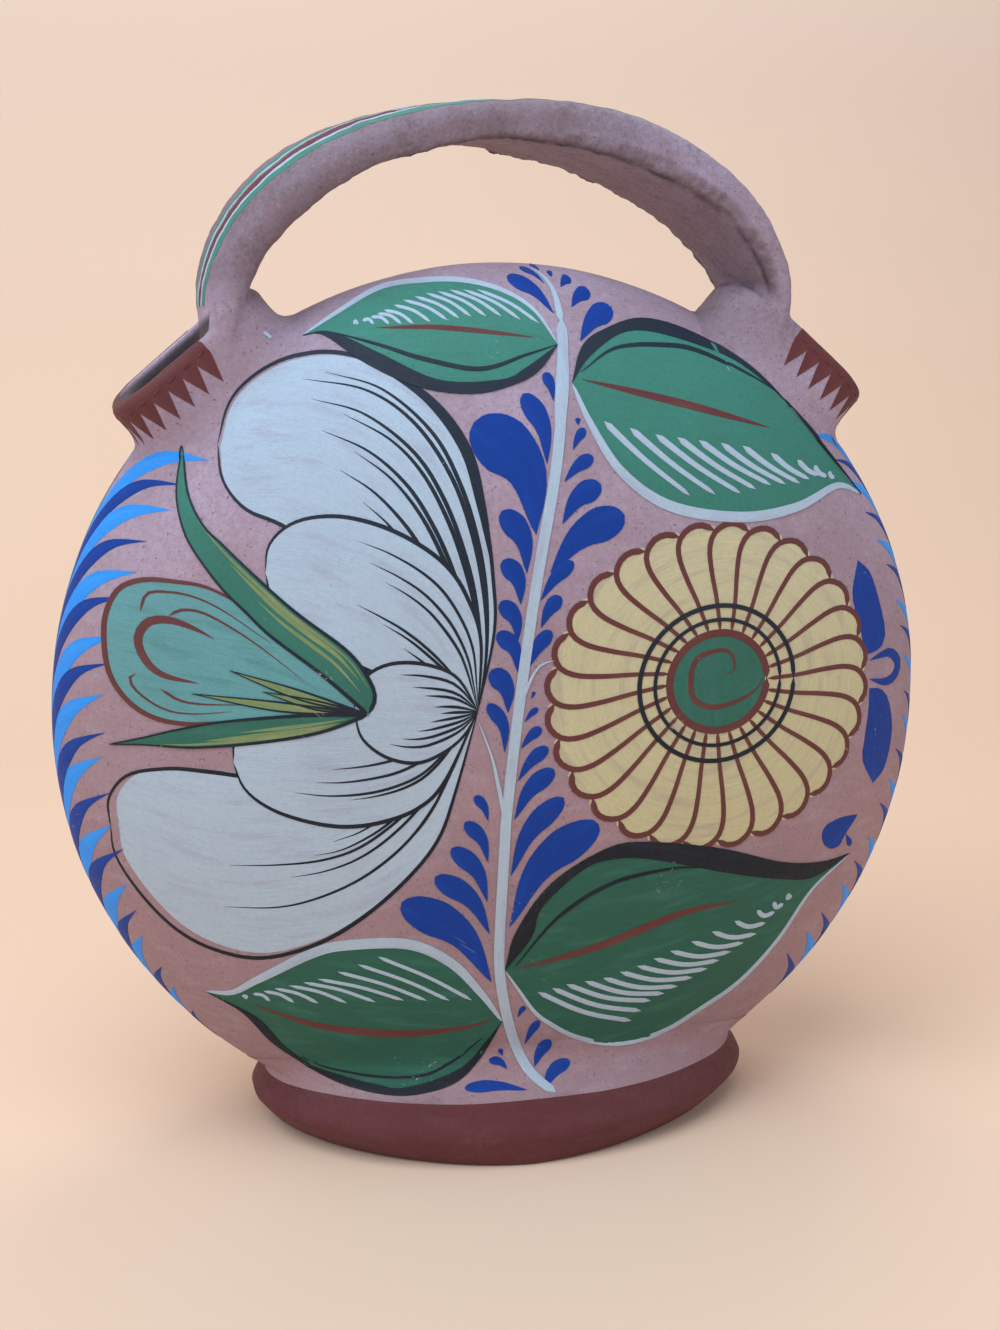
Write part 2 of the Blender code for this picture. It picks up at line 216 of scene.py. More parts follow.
def blend(first: Array, middle: Array, last: Array, steps: int) -> list[Array]:
    """Rings on the curve from the first to the last, drawn towards the middle one.

    Args:
        first: the ring where the curve starts.
        middle: the ring that draws it.
        last: the ring where it ends.
        steps: how many rings, both ends among them.

    Returns:
        The rings in order.
    """
    return [
        first * (1 - t) ** 2 + middle * 2 * t * (1 - t) + last * t**2
        for t in np.linspace(0.0, 1.0, steps)
    ]


def superellipse(half_x: float, half_y: float, power: float, sides: int) -> Array:
    """Points round a superellipse, anticlockwise from +X.

    Args:
        half_x: half its width.
        half_y: half its depth.
        power: 2 for an ellipse, more for squarer corners.
        sides: how many points.

    Returns:
        One row of x, y for each point.
    """
    angle = np.arange(sides) * 2.0 * math.pi / sides
    cos, sin = np.cos(angle), np.sin(angle)
    x = half_x * np.sign(cos) * np.abs(cos) ** (2.0 / power)
    y = half_y * np.sign(sin) * np.abs(sin) ** (2.0 / power)
    return np.stack([x, y], axis=1)


def smooth_line(points: Sequence[Point], count: int) -> Array:
    """A smooth curve through a few points, at even steps along it.

    Args:
        points: where the curve goes through.
        count: how many points to return.

    Returns:
        An array of count rows of two.
    """
    knots = np.array(points, float)
    if len(knots) > 2:
        padded = np.vstack([2 * knots[0] - knots[1], knots, 2 * knots[-1] - knots[-2]])
        t = np.linspace(0.0, 1.0, 17)[:-1, None]
        pieces = []
        for a, b, c, d in zip(padded, padded[1:], padded[2:], padded[3:]):
            bend = 2 * a - 5 * b + 4 * c - d
            turn = 3 * b - a - 3 * c + d
            pieces.append(0.5 * (2 * b + (c - a) * t + bend * t**2 + turn * t**3))
        knots = np.vstack([*pieces, knots[-1:]])
    run = np.concatenate([[0.0], np.cumsum(np.linalg.norm(np.diff(knots, axis=0), axis=1))])
    at = np.linspace(0.0, run[-1], count)
    return np.stack([np.interp(at, run, knots[:, axis]) for axis in (0, 1)], axis=1)


def length_of(line: Sequence[Point]) -> float:
    """The length of the straight pieces between a line's points."""
    return float(np.linalg.norm(np.diff(np.array(line, float), axis=0), axis=1).sum())


def left_of(line: Array) -> Array:
    """The direction to the left of a line, at each of its points.

    Args:
        line: rows of x and z.

    Returns:
        One unit direction for each point.
    """
    along = np.gradient(line, axis=0)
    along /= np.maximum(np.linalg.norm(along, axis=1, keepdims=True), 1e-9)
    return np.stack([-along[:, 1], along[:, 0]], axis=1)


def bow(start: Point, end: Point, bend: float) -> list[Point]:
    """Three points of a bowed line.

    Args:
        start: the first point.
        end: the last point.
        bend: how far the middle lies to the left of the straight line.

    Returns:
        The two ends with the middle between them.
    """
    run = np.array(end, float) - np.array(start, float)
    left = np.array([-run[1], run[0]]) / (np.linalg.norm(run) or 1.0)
    middle = (np.array(start, float) + np.array(end, float)) / 2 + left * bend
    return [start, tuple(middle), end]


class Brush(Enum):
    """How the width of a brush mark runs from its first end to its last."""

    COMMA = "a round head and a long thin tail"
    LEAF = "thin at both ends"
    LINE = "even, with round ends"
    VEIN = "thin at the start and full at the end"
    TAIL = "full at the start and thin at the end"
    PAD = "broad, with blunt ends"
    RIB = "a little thinner towards the end"

    def widths(self, t: Array, end_share: float) -> Array:
        """Shares of the full width along the mark.

        Args:
            t: places along the mark, from 0 to 1.
            end_share: how much of the length a round end takes.

        Returns:
            The share of the full width at each place.
        """
        if self in (Brush.LEAF, Brush.PAD):
            return np.sin(math.pi * t) ** (0.8 if self is Brush.LEAF else 0.45)
        if self is Brush.COMMA:
            head = 0.3
            round_part = np.sqrt(np.clip(1.0 - (1.0 - t / head) ** 2, 0.0, 1.0))
            tail = np.clip(1.0 - (t - head) / (1.0 - head), 0.0, 1.0) ** 0.85
            return np.where(t < head, round_part, tail)
        from_end = np.minimum(t, 1.0 - t) / max(end_share, 1e-6)
        rounded = np.sqrt(np.clip(1.0 - np.clip(1.0 - from_end, 0.0, 1.0) ** 2, 0.0, 1.0))
        if self is Brush.VEIN:
            return rounded * (0.3 + 0.7 * t)
        if self is Brush.TAIL:
            return rounded * (1.0 - 0.85 * t)
        if self is Brush.RIB:
            return rounded * (1.0 - 0.4 * t)
        return rounded


@dataclass
class BodyForm:
    """The flat round body: a disc of revolution about Y, as the frame's solids have it."""

    radius: float = 0.143
    half_depth: float = 0.054
    rim_power: float = 2.45
    wall: float = 0.007
    lump_height: float = 0.0005
    sides: int = 224
    steps: int = 112
    centre_z: float = field(init=False)
    cut_z: float = field(init=False)

    def __post_init__(self) -> None:
        """Takes the body's place from the frame."""
        self.centre_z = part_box("seam_roll_top")[1].z - self.radius
        self.cut_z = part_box("base_slab")[1].z
        turn = np.linspace(0.0, math.pi / 2, 400)
        depth = self.half_depth * np.sin(turn)
        radius = self.radius * np.cos(turn) ** (2.0 / self.rim_power)
        steps = np.hypot(np.diff(depth), np.diff(radius))
        self.arc = np.concatenate([[0.0], np.cumsum(steps)])
        self.arc_depth, self.arc_radius = depth, radius

    def depth_at(self, radius: Array) -> Array:
        """Half depth of the body at a distance from its axis."""
        share = np.clip(radius / self.radius, 0.0, 1.0)
        return self.half_depth * np.sqrt(1.0 - share**self.rim_power)

    def normals(self, points: Array) -> Array:
        """Outward normals of the body at points on it.

        Args:
            points: places on the body.

        Returns:
            One unit normal for each point.
        """
        x, y, z = points[..., 0], points[..., 1], points[..., 2] - self.centre_z
        radius = np.maximum(np.hypot(x, z), 1e-9)
        pull = self.rim_power * radius ** (self.rim_power - 1) / self.radius**self.rim_power
        out = np.stack([pull * x / radius, 2 * y / self.half_depth**2, pull * z / radius], axis=-1)
        return out / np.linalg.norm(out, axis=-1, keepdims=True)

    def lumps(self, points: Array) -> Array:
        """How far the hand-smoothed clay stands above its plain form.

        Args:
            points: places on the clay.

        Returns:
            A height for each point, in metres.
        """
        x, y, z = points[..., 0], points[..., 1], points[..., 2]
        broad = np.sin(34 * x + 1.1) * np.cos(27 * z - 0.6)
        middle = np.sin(61 * x - 48 * z + 30 * y + 2.0)
        fine = np.sin(140 * x + 0.7) * np.sin(120 * z + 60 * y + 1.9)
        return self.lump_height * (0.5 * broad + 0.3 * middle + 0.2 * fine)

    def lifted(self, points: Array, lift: float) -> Array:
        """Raises points of the plain form to the lumpy clay and a little more."""
        height = self.lumps(points) + lift
        return points + self.normals(points) * height[..., None]

    def face(self, xz: Array, side: int, lift: float) -> Array:
        """Points on one face, from their places as seen straight on.

        Args:
            xz: places in metres, x from the middle and z above the table.
            side: -1 for the front and 1 for the back.
            lift: height above the clay.

        Returns:
            Points on the clay.
        """
        x, z = xz[..., 0], xz[..., 1] - self.centre_z
        radius = np.hypot(x, z)
        inside = np.minimum(1.0, 0.9995 * self.radius / np.maximum(radius, 1e-9))
        x, z = x * inside, z * inside
        y = side * self.depth_at(radius * inside)
        return self.lifted(np.stack([x, y, z + self.centre_z], axis=-1), lift)

    def rim(self, angle_arc: Array, side: int, lift: float) -> Array:
        """Points near the rim, from an angle round it and the way from its middle line.

        Args:
            angle_arc: the angle from +X in radians, and the length from the rim in metres.
            side: -1 for the front and 1 for the back.
            lift: height above the clay.

        Returns:
            Points on the clay.
        """
        angle, arc = angle_arc[..., 0], angle_arc[..., 1]
        radius = np.interp(np.abs(arc), self.arc, self.arc_radius)
        depth = np.interp(np.abs(arc), self.arc, self.arc_depth) * np.sign(arc)
        points = np.stack(
            [radius * np.cos(angle), side * depth, self.centre_z + radius * np.sin(angle)], axis=-1
        )
        return self.lifted(points, lift)

    def outline(self, height: float, angle: Array) -> Array:
        """The body's outline in a level plane.

        Args:
            height: the plane's height above the table.
            angle: how far round each point is.

        Returns:
            One row of x, y, z for each angle.
        """
        drop = self.centre_z - height
        x = math.sqrt(self.radius**2 - drop**2) * np.cos(angle)
        y = self.depth_at(np.hypot(x, drop)) * np.sign(np.sin(angle))
        y = np.where(np.abs(np.sin(angle)) < 1e-9, 0.0, y)
        return np.stack([x, y, np.full_like(x, height)], axis=1)

    def build(self, bores: Sequence[Object]) -> Object:
        """Makes the hollow body with its two mouths and its cut-off bottom.

        Args:
            bores: closed shapes that the mouths are cut with.

        Returns:
            The clay body.
        """
        bpy.ops.object.select_all(action="DESELECT")
        bpy.ops.mesh.primitive_uv_sphere_add(
            segments=self.sides, ring_count=self.steps, radius=1.0
        )
        obj = bpy.context.object
        obj.name = "clay_body"
        unit = mesh_vectors(obj)
        polar = np.arccos(np.clip(unit[:, 2], -1.0, 1.0))
        round_axis = np.arctan2(unit[:, 1], unit[:, 0])
        radius = self.radius * np.sin(polar) ** (2.0 / self.rim_power)
        depth = self.half_depth * np.cos(polar)
        points = np.stack(
            [radius * np.cos(round_axis), -depth, self.centre_z + radius * np.sin(round_axis)],
            axis=1,
        )
        set_points(obj, self.lifted(points, 0.0))
        select_only(obj)
        bpy.ops.object.mode_set(mode="EDIT")
        bpy.ops.mesh.select_all(action="SELECT")
        bpy.ops.mesh.bisect(
            plane_co=(0.0, 0.0, self.cut_z), plane_no=(0.0, 0.0, 1.0), clear_inner=True
        )
        bpy.ops.mesh.select_all(action="SELECT")
        bpy.ops.mesh.normals_make_consistent(inside=False)
        bpy.ops.object.mode_set(mode="OBJECT")
        wall = obj.modifiers.new("wall", "SOLIDIFY")
        wall.thickness = self.wall
        wall.offset = -1.0
        for bore in bores:
            cut = obj.modifiers.new(bore.name, "BOOLEAN")
            cut.operation = "DIFFERENCE"
            cut.object = bore
            cut.solver = "EXACT"
        apply_all(obj)
        return obj


@dataclass
class NeckForm:
    """One short spout with a rounded lip, which flares at its foot into the body's shoulder."""

    body: BodyForm
    side: int
    tip_forward: float = 0.0
    slide: float = 0.0
    tilt: float = math.radians(40.0)
    rise: float = 0.0107
    width: float = 0.057
    depth: float = 0.047
    wall: float = 0.0075
    power: float = 3.2
    lip_radius: float = 0.0024
    flare_height: float = 0.0055
    flare_reach: float = 0.0045
    bore_from: float = 0.085
    bore_to: float = 0.152
    sides: int = 128

    @property
    def lip_height(self) -> float:
        """The lip's distance from the body's centre."""
        return self.body.radius + self.rise

    def place(self, across: Array, height: Array) -> Array:
        """Turns points of the spout's own frame into the vase's.

        Args:
            across: rows of the place along the mouth, outer end first, and towards the back.
            height: distance from the body's centre along the spout.

        Returns:
            Points in the vase's frame.
        """
        sin, cos = math.sin(self.tilt), math.cos(self.tilt)
        u, v = across[..., 0] + self.slide, across[..., 1]
        x = self.side * (height * sin + u * cos)
        z = self.body.centre_z + height * cos - u * sin
        return np.stack([x, v + 0.0 * height, z], axis=-1)

    def section(self, inset: float) -> Array:
        """The spout's outline, drawn in by inset."""
        half_sizes = self.width / 2 - inset, self.depth / 2 - inset
        return superellipse(*half_sizes, self.power, self.sides)

    def ring(self, inset: float, height: float) -> Array:
        """The outline at one distance from the body's centre."""
        return self.place(self.section(inset), np.full(self.sides, height))

    def seat(self, across: Array) -> Array:
        """Heights at which lines along the spout meet the body.

        Args:
            across: where the lines stand.

        Returns:
            One height for each line.
        """
        low, high = np.full(len(across), 0.05), np.full(len(across), 0.16)
        for _ in range(30):
            middle = (low + high) / 2
            points = self.place(across, middle)
            radius = np.hypot(points[:, 0], points[:, 2] - self.body.centre_z)
            share = (points[:, 1] / self.body.half_depth) ** 2
            outside = share + (radius / self.body.radius) ** self.body.rim_power > 1.0
            high = np.where(outside, middle, high)
            low = np.where(outside, low, middle)
        return (low + high) / 2

    def bore(self) -> Object:
        """The shape that the body's mouth is cut with, hidden in the spout's wall."""
        rings = [self.ring(self.wall * 0.6, height) for height in (self.bore_from, self.bore_to)]
        return new_shell(f"mouth_cut_{self.side}", rings, joined_ends=False)

    def build(self) -> Object:
        """Makes the spout as one closed shell.

        Returns:
            The spout, its foot sunk a little into the body.
        """
        outer = self.section(0.0)
        ahead, behind = np.roll(outer, -1, axis=0), np.roll(outer, 1, axis=0)
        along = ahead - behind
        out = np.stack([along[:, 1], -along[:, 0]], axis=1)
        out /= np.linalg.norm(out, axis=1, keepdims=True)
        seat = self.seat(outer)
        top = self.place(outer, seat + self.flare_height)
        corner = self.place(outer, seat)
        spread = outer + out * self.flare_reach
        foot_height = self.seat(spread)
        foot = self.place(spread, foot_height)
        rings = [self.place(spread, foot_height - 0.003), *blend(foot, corner, top, 9)]
        start = seat + self.flare_height
        stop = self.lip_height - self.lip_radius
        for share in (0.33, 0.66):
            rings.append(self.place(outer, start + (stop - start) * share))
        turn = np.linspace(0.0, math.pi / 2, 6)
        insets = self.lip_radius * (1.0 - np.cos(turn))
        heights = self.lip_height - self.lip_radius * (1.0 - np.sin(turn))
        lip = list(zip(insets, heights))
        lip += [(self.wall - inset, height) for inset, height in lip[::-1]]
        bottom = self.body.radius * 0.82
        bore = [(self.wall, z) for z in np.linspace(self.lip_height - 0.006, bottom, 5)]
        rings += [self.ring(inset, height) for inset, height in lip + bore]
        obj = new_shell(f"spout_{self.side}", rings, joined_ends=True)
        points = mesh_vectors(obj)
        axis = np.array([self.side * math.sin(self.tilt), 0.0, math.cos(self.tilt)])
        height = (points - np.array([0.0, 0.0, self.body.centre_z])) @ axis
        near_lip = np.clip((height - self.body.radius * 0.95) / (self.rise * 1.6), 0.0, 1.0)
        lean = self.tip_forward * points[:, 1] / (self.depth / 2) * near_lip
        set_points(obj, points + axis * lean[:, None])
        return obj

    def wrap(self, around_down: Array) -> Array:
        """Rough points on the spout's outside, to be pressed onto the clay.

        Args:
            around_down: way round from the middle of the outer end, positive towards the
                front, and way down from the lip's top, both in metres.

        Returns:
            Points close to the clay.
        """
        outline = superellipse(self.width / 2, self.depth / 2, self.power, 720)
        outline[:, 1] = -outline[:, 1]
        outline = np.vstack([outline[360:], outline[:361]])
        run = np.linalg.norm(np.diff(outline, axis=0), axis=1)
        arc = np.concatenate([[0.0], np.cumsum(run)])
        arc -= arc[360]
        around, down = around_down[..., 0], around_down[..., 1]
        u = np.interp(around, arc, outline[:, 0])
        v = np.interp(around, arc, outline[:, 1])
        inward = np.clip(-down, 0.0, self.wall)
        length = np.maximum(np.hypot(u, v), 1e-9)
        across = np.stack([u - u / length * inward, v - v / length * inward], axis=-1)
        lean = self.tip_forward * across[..., 1] / (self.depth / 2)
        return self.place(across, self.lip_height + lean - np.maximum(down, 0.0))


# What is uneven along the strap. Each has places from the left seat at -1 to the right one at 1,
# and then there the arch's lift, the underside's sag or the outer side's loss in millimetres, or
# the roll in degrees
HAND_LIFT = (
    [-1, -0.75, -0.5, -0.22, 0, 0.25, 0.5, 0.75, 1],
    [0, 1.4, 1.8, -0.2, -1.2, 0.4, 1.1, 0.9, 0],
)
HAND_SAG = [-1, -0.6, -0.35, -0.1, 0.1, 0.4, 0.7, 1], [0, -2.4, -3.2, -1, 1.2, 1.5, 1, 0]
HAND_LOSS = [0.3, 0.55, 0.8, 1, 1.4], [0, 1.4, 3.2, 4.8, 5.2]
HAND_ROLL = [-1.15, -0.85, -0.55, -0.25, 0, 0.3, 0.6, 0.9, 1.15], [0, 10, 15, 10, 1, -4, -8, -5, 0]


@dataclass
class HandleForm:
    """The strap handle, from inside one mouth over to the other."""

    body: BodyForm
    neck: NeckForm
    thickness: float = 0.0125
    inset: float = 0.0035
    top_half_width: float = 0.019
    root_half_width: float = 0.0236
    arch_power: float = 1.85
    crown_power: float = 2.9
    crown_share: float = 0.65
    leg_end: float = 1.42
    rings: int = 170
    sides: int = 64
    span: float = field(init=False)
    spring: float = field(init=False)
    rise: float = field(init=False)

    def __post_init__(self) -> None:
        """Takes the handle's place from the mouths and from the frame."""
        sin, cos = math.sin(self.neck.tilt), math.cos(self.neck.tilt)
        lip = self.neck.lip_height
        inner = lip * sin - self.neck.width / 2 * cos + self.inset
        edge = (inner + self.thickness - lip * sin) / cos
        self.span = inner + self.thickness / 2
        self.spring = self.body.centre_z + lip * cos - (edge - self.neck.width / 2) / 2 * sin
        self.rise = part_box("handle")[1].z - self.thickness / 2 - self.spring

    def roll(self, share: Array) -> Array:
        """How far the strap's outer face is twisted towards the front, in radians."""
        return np.radians(np.interp(share, *HAND_ROLL))

    def under(self, share: Array) -> Array:
        """The strap's depth below the widest line of its section.

        Args:
            share: places along the arch.

        Returns:
            One depth for each place, in metres.
        """
        bulge = 0.0024 * np.sin(math.pi * np.minimum(np.abs(share), 1.0))
        sag = np.interp(share, *HAND_SAG) * MM
        return self.thickness * (1.0 - self.crown_share) + bulge + sag

    def under_power(self, share: Array) -> Array:
        """How square the section is below: boxy at the top of the arch, softer at the roots."""
        return 8.0 - 5.0 * np.minimum(np.abs(share), 1.0)

    def corner_distance(self, share: Array, across: Array, outward: Array) -> Array:
        """How far points lie from the corner line between the strap's side and underside.

        Args:
            share: places along the arch.
            across: metres across the strap.
            outward: metres away from the arch's middle line.

        Returns:
            One distance for each point.
        """
        part = 0.5 ** (1.0 / self.under_power(share))
        level = self.thickness * (0.5 - self.crown_share) - self.under(share) * part
        return np.hypot(np.abs(across) - self.half_width(share) * part, outward - level)

    def half_width(self, share: Array) -> Array:
        """Half the strap's width along the arch."""
        reach = np.minimum(np.abs(share), 1.0)
        return self.top_half_width + (self.root_half_width - self.top_half_width) * reach**1.3

    def spine(self, share: Array) -> tuple[Array, Array]:
        """Points of the arch's middle line and its outward normals, both in the XZ plane.

        Args:
            share: -1 at the left seat, 0 at the top, 1 at the right seat, past them in the leg.

        Returns:
            The points and the normals, a row of x and z each.
        """
        reach, side = np.minimum(np.abs(share), 1.0), np.where(share < 0, -1.0, 1.0)
        angle, power = math.pi / 2 * (1.0 - reach), self.arch_power
        x = self.span * np.clip(np.cos(angle), 0.0, 1.0) ** (2.0 / power)
        z = self.rise * np.clip(np.sin(angle), 0.0, 1.0) ** (2.0 / power)
        pull = np.stack([x ** (power - 1) / self.span**power, z ** (power - 1) / self.rise**power])
        normal = pull / np.linalg.norm(pull, axis=0) * np.stack([side, np.ones_like(side)])
        drop = np.maximum(np.abs(share) - 1.0, 0.0) * self.rise
        lift = np.interp(share, *HAND_LIFT) * MM
        middle = np.stack([side * x, self.spring + z - drop + lift])
        return middle.T, normal.T

    def place(self, share: Array, across: Array, outward: Array) -> Array:
        """Turns the strap's own measures into points.

        Args:
            share: places along the arch, as for spine.
            across: metres across the strap, towards the back.
            outward: metres away from the arch's middle line.

        Returns:
            One point for each place.
        """
        middle, normal = self.spine(share.ravel())
        turn, across, outward = self.roll(share).ravel(), across.ravel(), outward.ravel()
        out = outward * np.cos(turn) + across * np.sin(turn)
        y = across * np.cos(turn) - outward * np.sin(turn)
        points = np.stack([middle[:, 0] + normal[:, 0] * out, y, middle[:, 1] + normal[:, 1] * out])
        return points.T.reshape(*share.shape, 3)

    def measure(self, points: Array) -> tuple[Array, Array, Array]:
        """Finds places along, across and outward for points on the strap.

        Args:
            points: places on the clay.

        Returns:
            The share along the arch, and metres across and outward.
        """
        half_power = self.arch_power / 2
        x = (np.abs(points[:, 0]) / self.span) ** half_power
        over = np.maximum(points[:, 2] - self.spring, 0.0) / self.rise
        reach = 1.0 - np.arctan2(over**half_power, x) / (math.pi / 2)
        reach += np.maximum(self.spring - points[:, 2], 0.0) / self.rise
        share = reach * np.sign(points[:, 0])
        middle, normal = self.spine(share)
        out = ((points[:, [0, 2]] - middle) * normal).sum(axis=1)
        turn = self.roll(share)
        outward = out * np.cos(turn) - points[:, 1] * np.sin(turn)
        return share, points[:, 1] * np.cos(turn) + out * np.sin(turn), outward

    def build(self) -> Object:
        """Makes the strap as one closed shell, its legs ending inside the spouts.

        Returns:
            The strap.
        """
        share = np.linspace(-self.leg_end, self.leg_end, self.rings)[:, None]
        reach = np.minimum(np.abs(share), 1.0)
        crown = self.thickness * self.crown_share
        loss = np.interp(share, *HAND_LOSS) * MM
        upper = crown + 0.0006 * np.sin(math.pi * reach) - loss
        angle = np.arange(self.sides)[None] * 2 * math.pi / self.sides
        cos, sin = np.cos(angle), np.sin(angle)
        power = np.where(sin >= 0, self.crown_power, self.under_power(share))
        across = self.half_width(share) * np.sign(cos) * np.abs(cos) ** (2 / power)
        size = np.where(sin >= 0, upper, self.under(share))
        outward = size * np.sign(sin) * np.abs(sin) ** (2 / power) + self.thickness / 2 - crown
        rings = self.place(np.broadcast_to(share, across.shape), across, outward)
        return new_shell("strap", list(rings), joined_ends=False)

    def crown_point(self, share_across: Array) -> Array:
        """Rough points on the strap's outer face, to be pressed onto the clay.

        Args:
            share_across: place along the arch, and metres across it towards the back.

        Returns:
            Points close to the clay.
        """
        share, across = share_across[..., 0], share_across[..., 1]
        part = np.minimum(np.abs(across) / self.half_width(share), 0.99)
        fall = 1.0 - (1.0 - part**self.crown_power) ** (1 / self.crown_power)
        outward = self.thickness * (0.5 - self.crown_share * fall)
        return self.place(share, across, outward)


def union_shoulders(body: BodyForm, necks: Sequence[NeckForm], handle: HandleForm) -> Object:
    """Joins both spouts and the strap into one smeared piece of clay, roughens it, and masks where
    it is painted darker as dirt and painted shade.

    Args:
        body: the body's form, for its lumps.
        necks: both spouts.
        handle: the strap handle.

    Returns:
        The clay of the spouts and handle.
    """
    pieces = [handle.build(), *[neck.build() for neck in necks]]
    select_only(*pieces)
    bpy.ops.object.join()
    obj = bpy.context.object
    obj.name = "clay_spouts_and_handle"
    remesh = obj.modifiers.new("one skin", "REMESH")
    remesh.mode = "VOXEL"
    remesh.voxel_size = VOXEL
    soften = obj.modifiers.new("smeared", "SMOOTH")
    soften.factor = 0.5
    soften.iterations = 5
    apply_all(obj)
    points, normals = mesh_vectors(obj), mesh_vectors(obj, "normal")
    share, across, outward = handle.measure(points)
    on_strap = np.clip((points[:, 2] - handle.spring + ROOT_DROP) / ROOT_RUN, 0.0, 1.0)
    half = handle.half_width(share)
    edge = np.clip((np.abs(across) / half - 0.84) / 0.1, 0.0, 1.0)
    under = np.clip((-outward - handle.thickness * 0.3) / 0.0015, 0.0, 1.0)
    rough, torn = roughness(points, GRAIN, 3), roughness(points, TEAR, 2)
    ragged = edge * under * on_strap * np.clip(0.35 + 2.0 * (share + 0.35), 0.2, 1.0)
    height = body.lumps(points) * 0.8 + rough * (0.00012 + 0.0002 * on_strap)
    height += ragged * (0.00025 + rough * 0.0007 + torn * 0.0004)
    height += torn * under * on_strap * 0.00012
    set_points(obj, points + normals * height[:, None])
    # Down inside the mouths the clay is painted dark: painted shade.
    inside = bore_share(points, necks)
    # Along the spouts' feet it is painted a little darker: painted shade in the groove where they
    # meet the body.
    valley = np.exp(-seat_distance(points, body) / 0.004)
    # The strap is painted darker all along, as dirt and painted shade together: a little more at
    # its top and on its torn edges, less underneath and on the right part away from the underside.
    crest = np.exp(-((share / 0.28) ** 2))
    lighter_right = np.clip((share - 0.2) / 0.3, 0.0, 1.0)
    strap_dirt_and_shade = 0.9 + 0.05 * crest - 0.15 * under + 0.2 * ragged - 0.55 * lighter_right * (1.0 - under)
    # Where the strap goes into the mouths the clay is painted darker, most on the right: dirt and
    # painted shade in the corner at the strap's root.
    root = np.exp(-(((points[:, 2] - handle.spring + ROOT_DROP) / ROOT_RUN) ** 2))
    root *= np.clip((0.1 - np.abs(points[:, 0])) / 0.01, 0.0, 1.0)
    # One mask holds all of this dirt and painted shade.
    dirt_and_shade = np.maximum(on_strap * strap_dirt_and_shade, np.where(share > 0.0, 0.65, 0.2) * root)
    set_mask(obj, "dirt_and_shade", np.maximum(np.maximum(dirt_and_shade, 0.95 * inside), 0.2 * valley))
    # A near-black line along the corners between the strap's sides and underside is dirt on worn
    # edges; the same mask holds the painted shade down the mouths.
    corner = handle.corner_distance(share, across, outward) / WORN_EDGE
    line = np.exp(-(corner**2)) * on_strap * np.clip(0.7 + rough, 0.0, 1.0)
    set_mask(obj, "edge_dirt_and_bore_shade", np.maximum(line, inside))
    return obj


def bore_share(points: Array, necks: Sequence[NeckForm]) -> Array:
    """How far points lie inside the mouths, from 0 outside to 1 down the bore.

    Args:
        points: places on the clay.
        necks: both spouts.

    Returns:
        One share for each point.
    """
    share = np.zeros(len(points))
    for neck in necks:
        sin, cos = math.sin(neck.tilt), math.cos(neck.tilt)
        x, z = points[:, 0] * neck.side, points[:, 2] - neck.body.centre_z
        u, height = x * cos - z * sin - neck.slide, x * sin + z * cos
        half_u, half_v = neck.width / 2 - neck.wall * 0.42, neck.depth / 2 - neck.wall * 0.42
        spread = (np.abs(u) / half_u) ** neck.power + (np.abs(points[:, 1]) / half_v) ** neck.power
        below = np.clip((neck.lip_height + 0.002 - height) / 0.002, 0.0, 1.0)
        share = np.maximum(share, np.where(spread < 1.0, below, 0.0))
    return share


def seat_distance(points: Array, body: BodyForm) -> Array:
    """How far points stand above the body's plain form, roughly.

    Args:
        points: places near the body.
        body: the body's form.

    Returns:
        One distance for each point, never below 0.
    """
    radius = np.hypot(points[:, 0], points[:, 2] - body.centre_z)
    reach = (points[:, 1] / body.half_depth) ** 2 + (radius / body.radius) ** body.rim_power
    return np.maximum(reach - 1.0, 0.0) * body.radius / 2.2


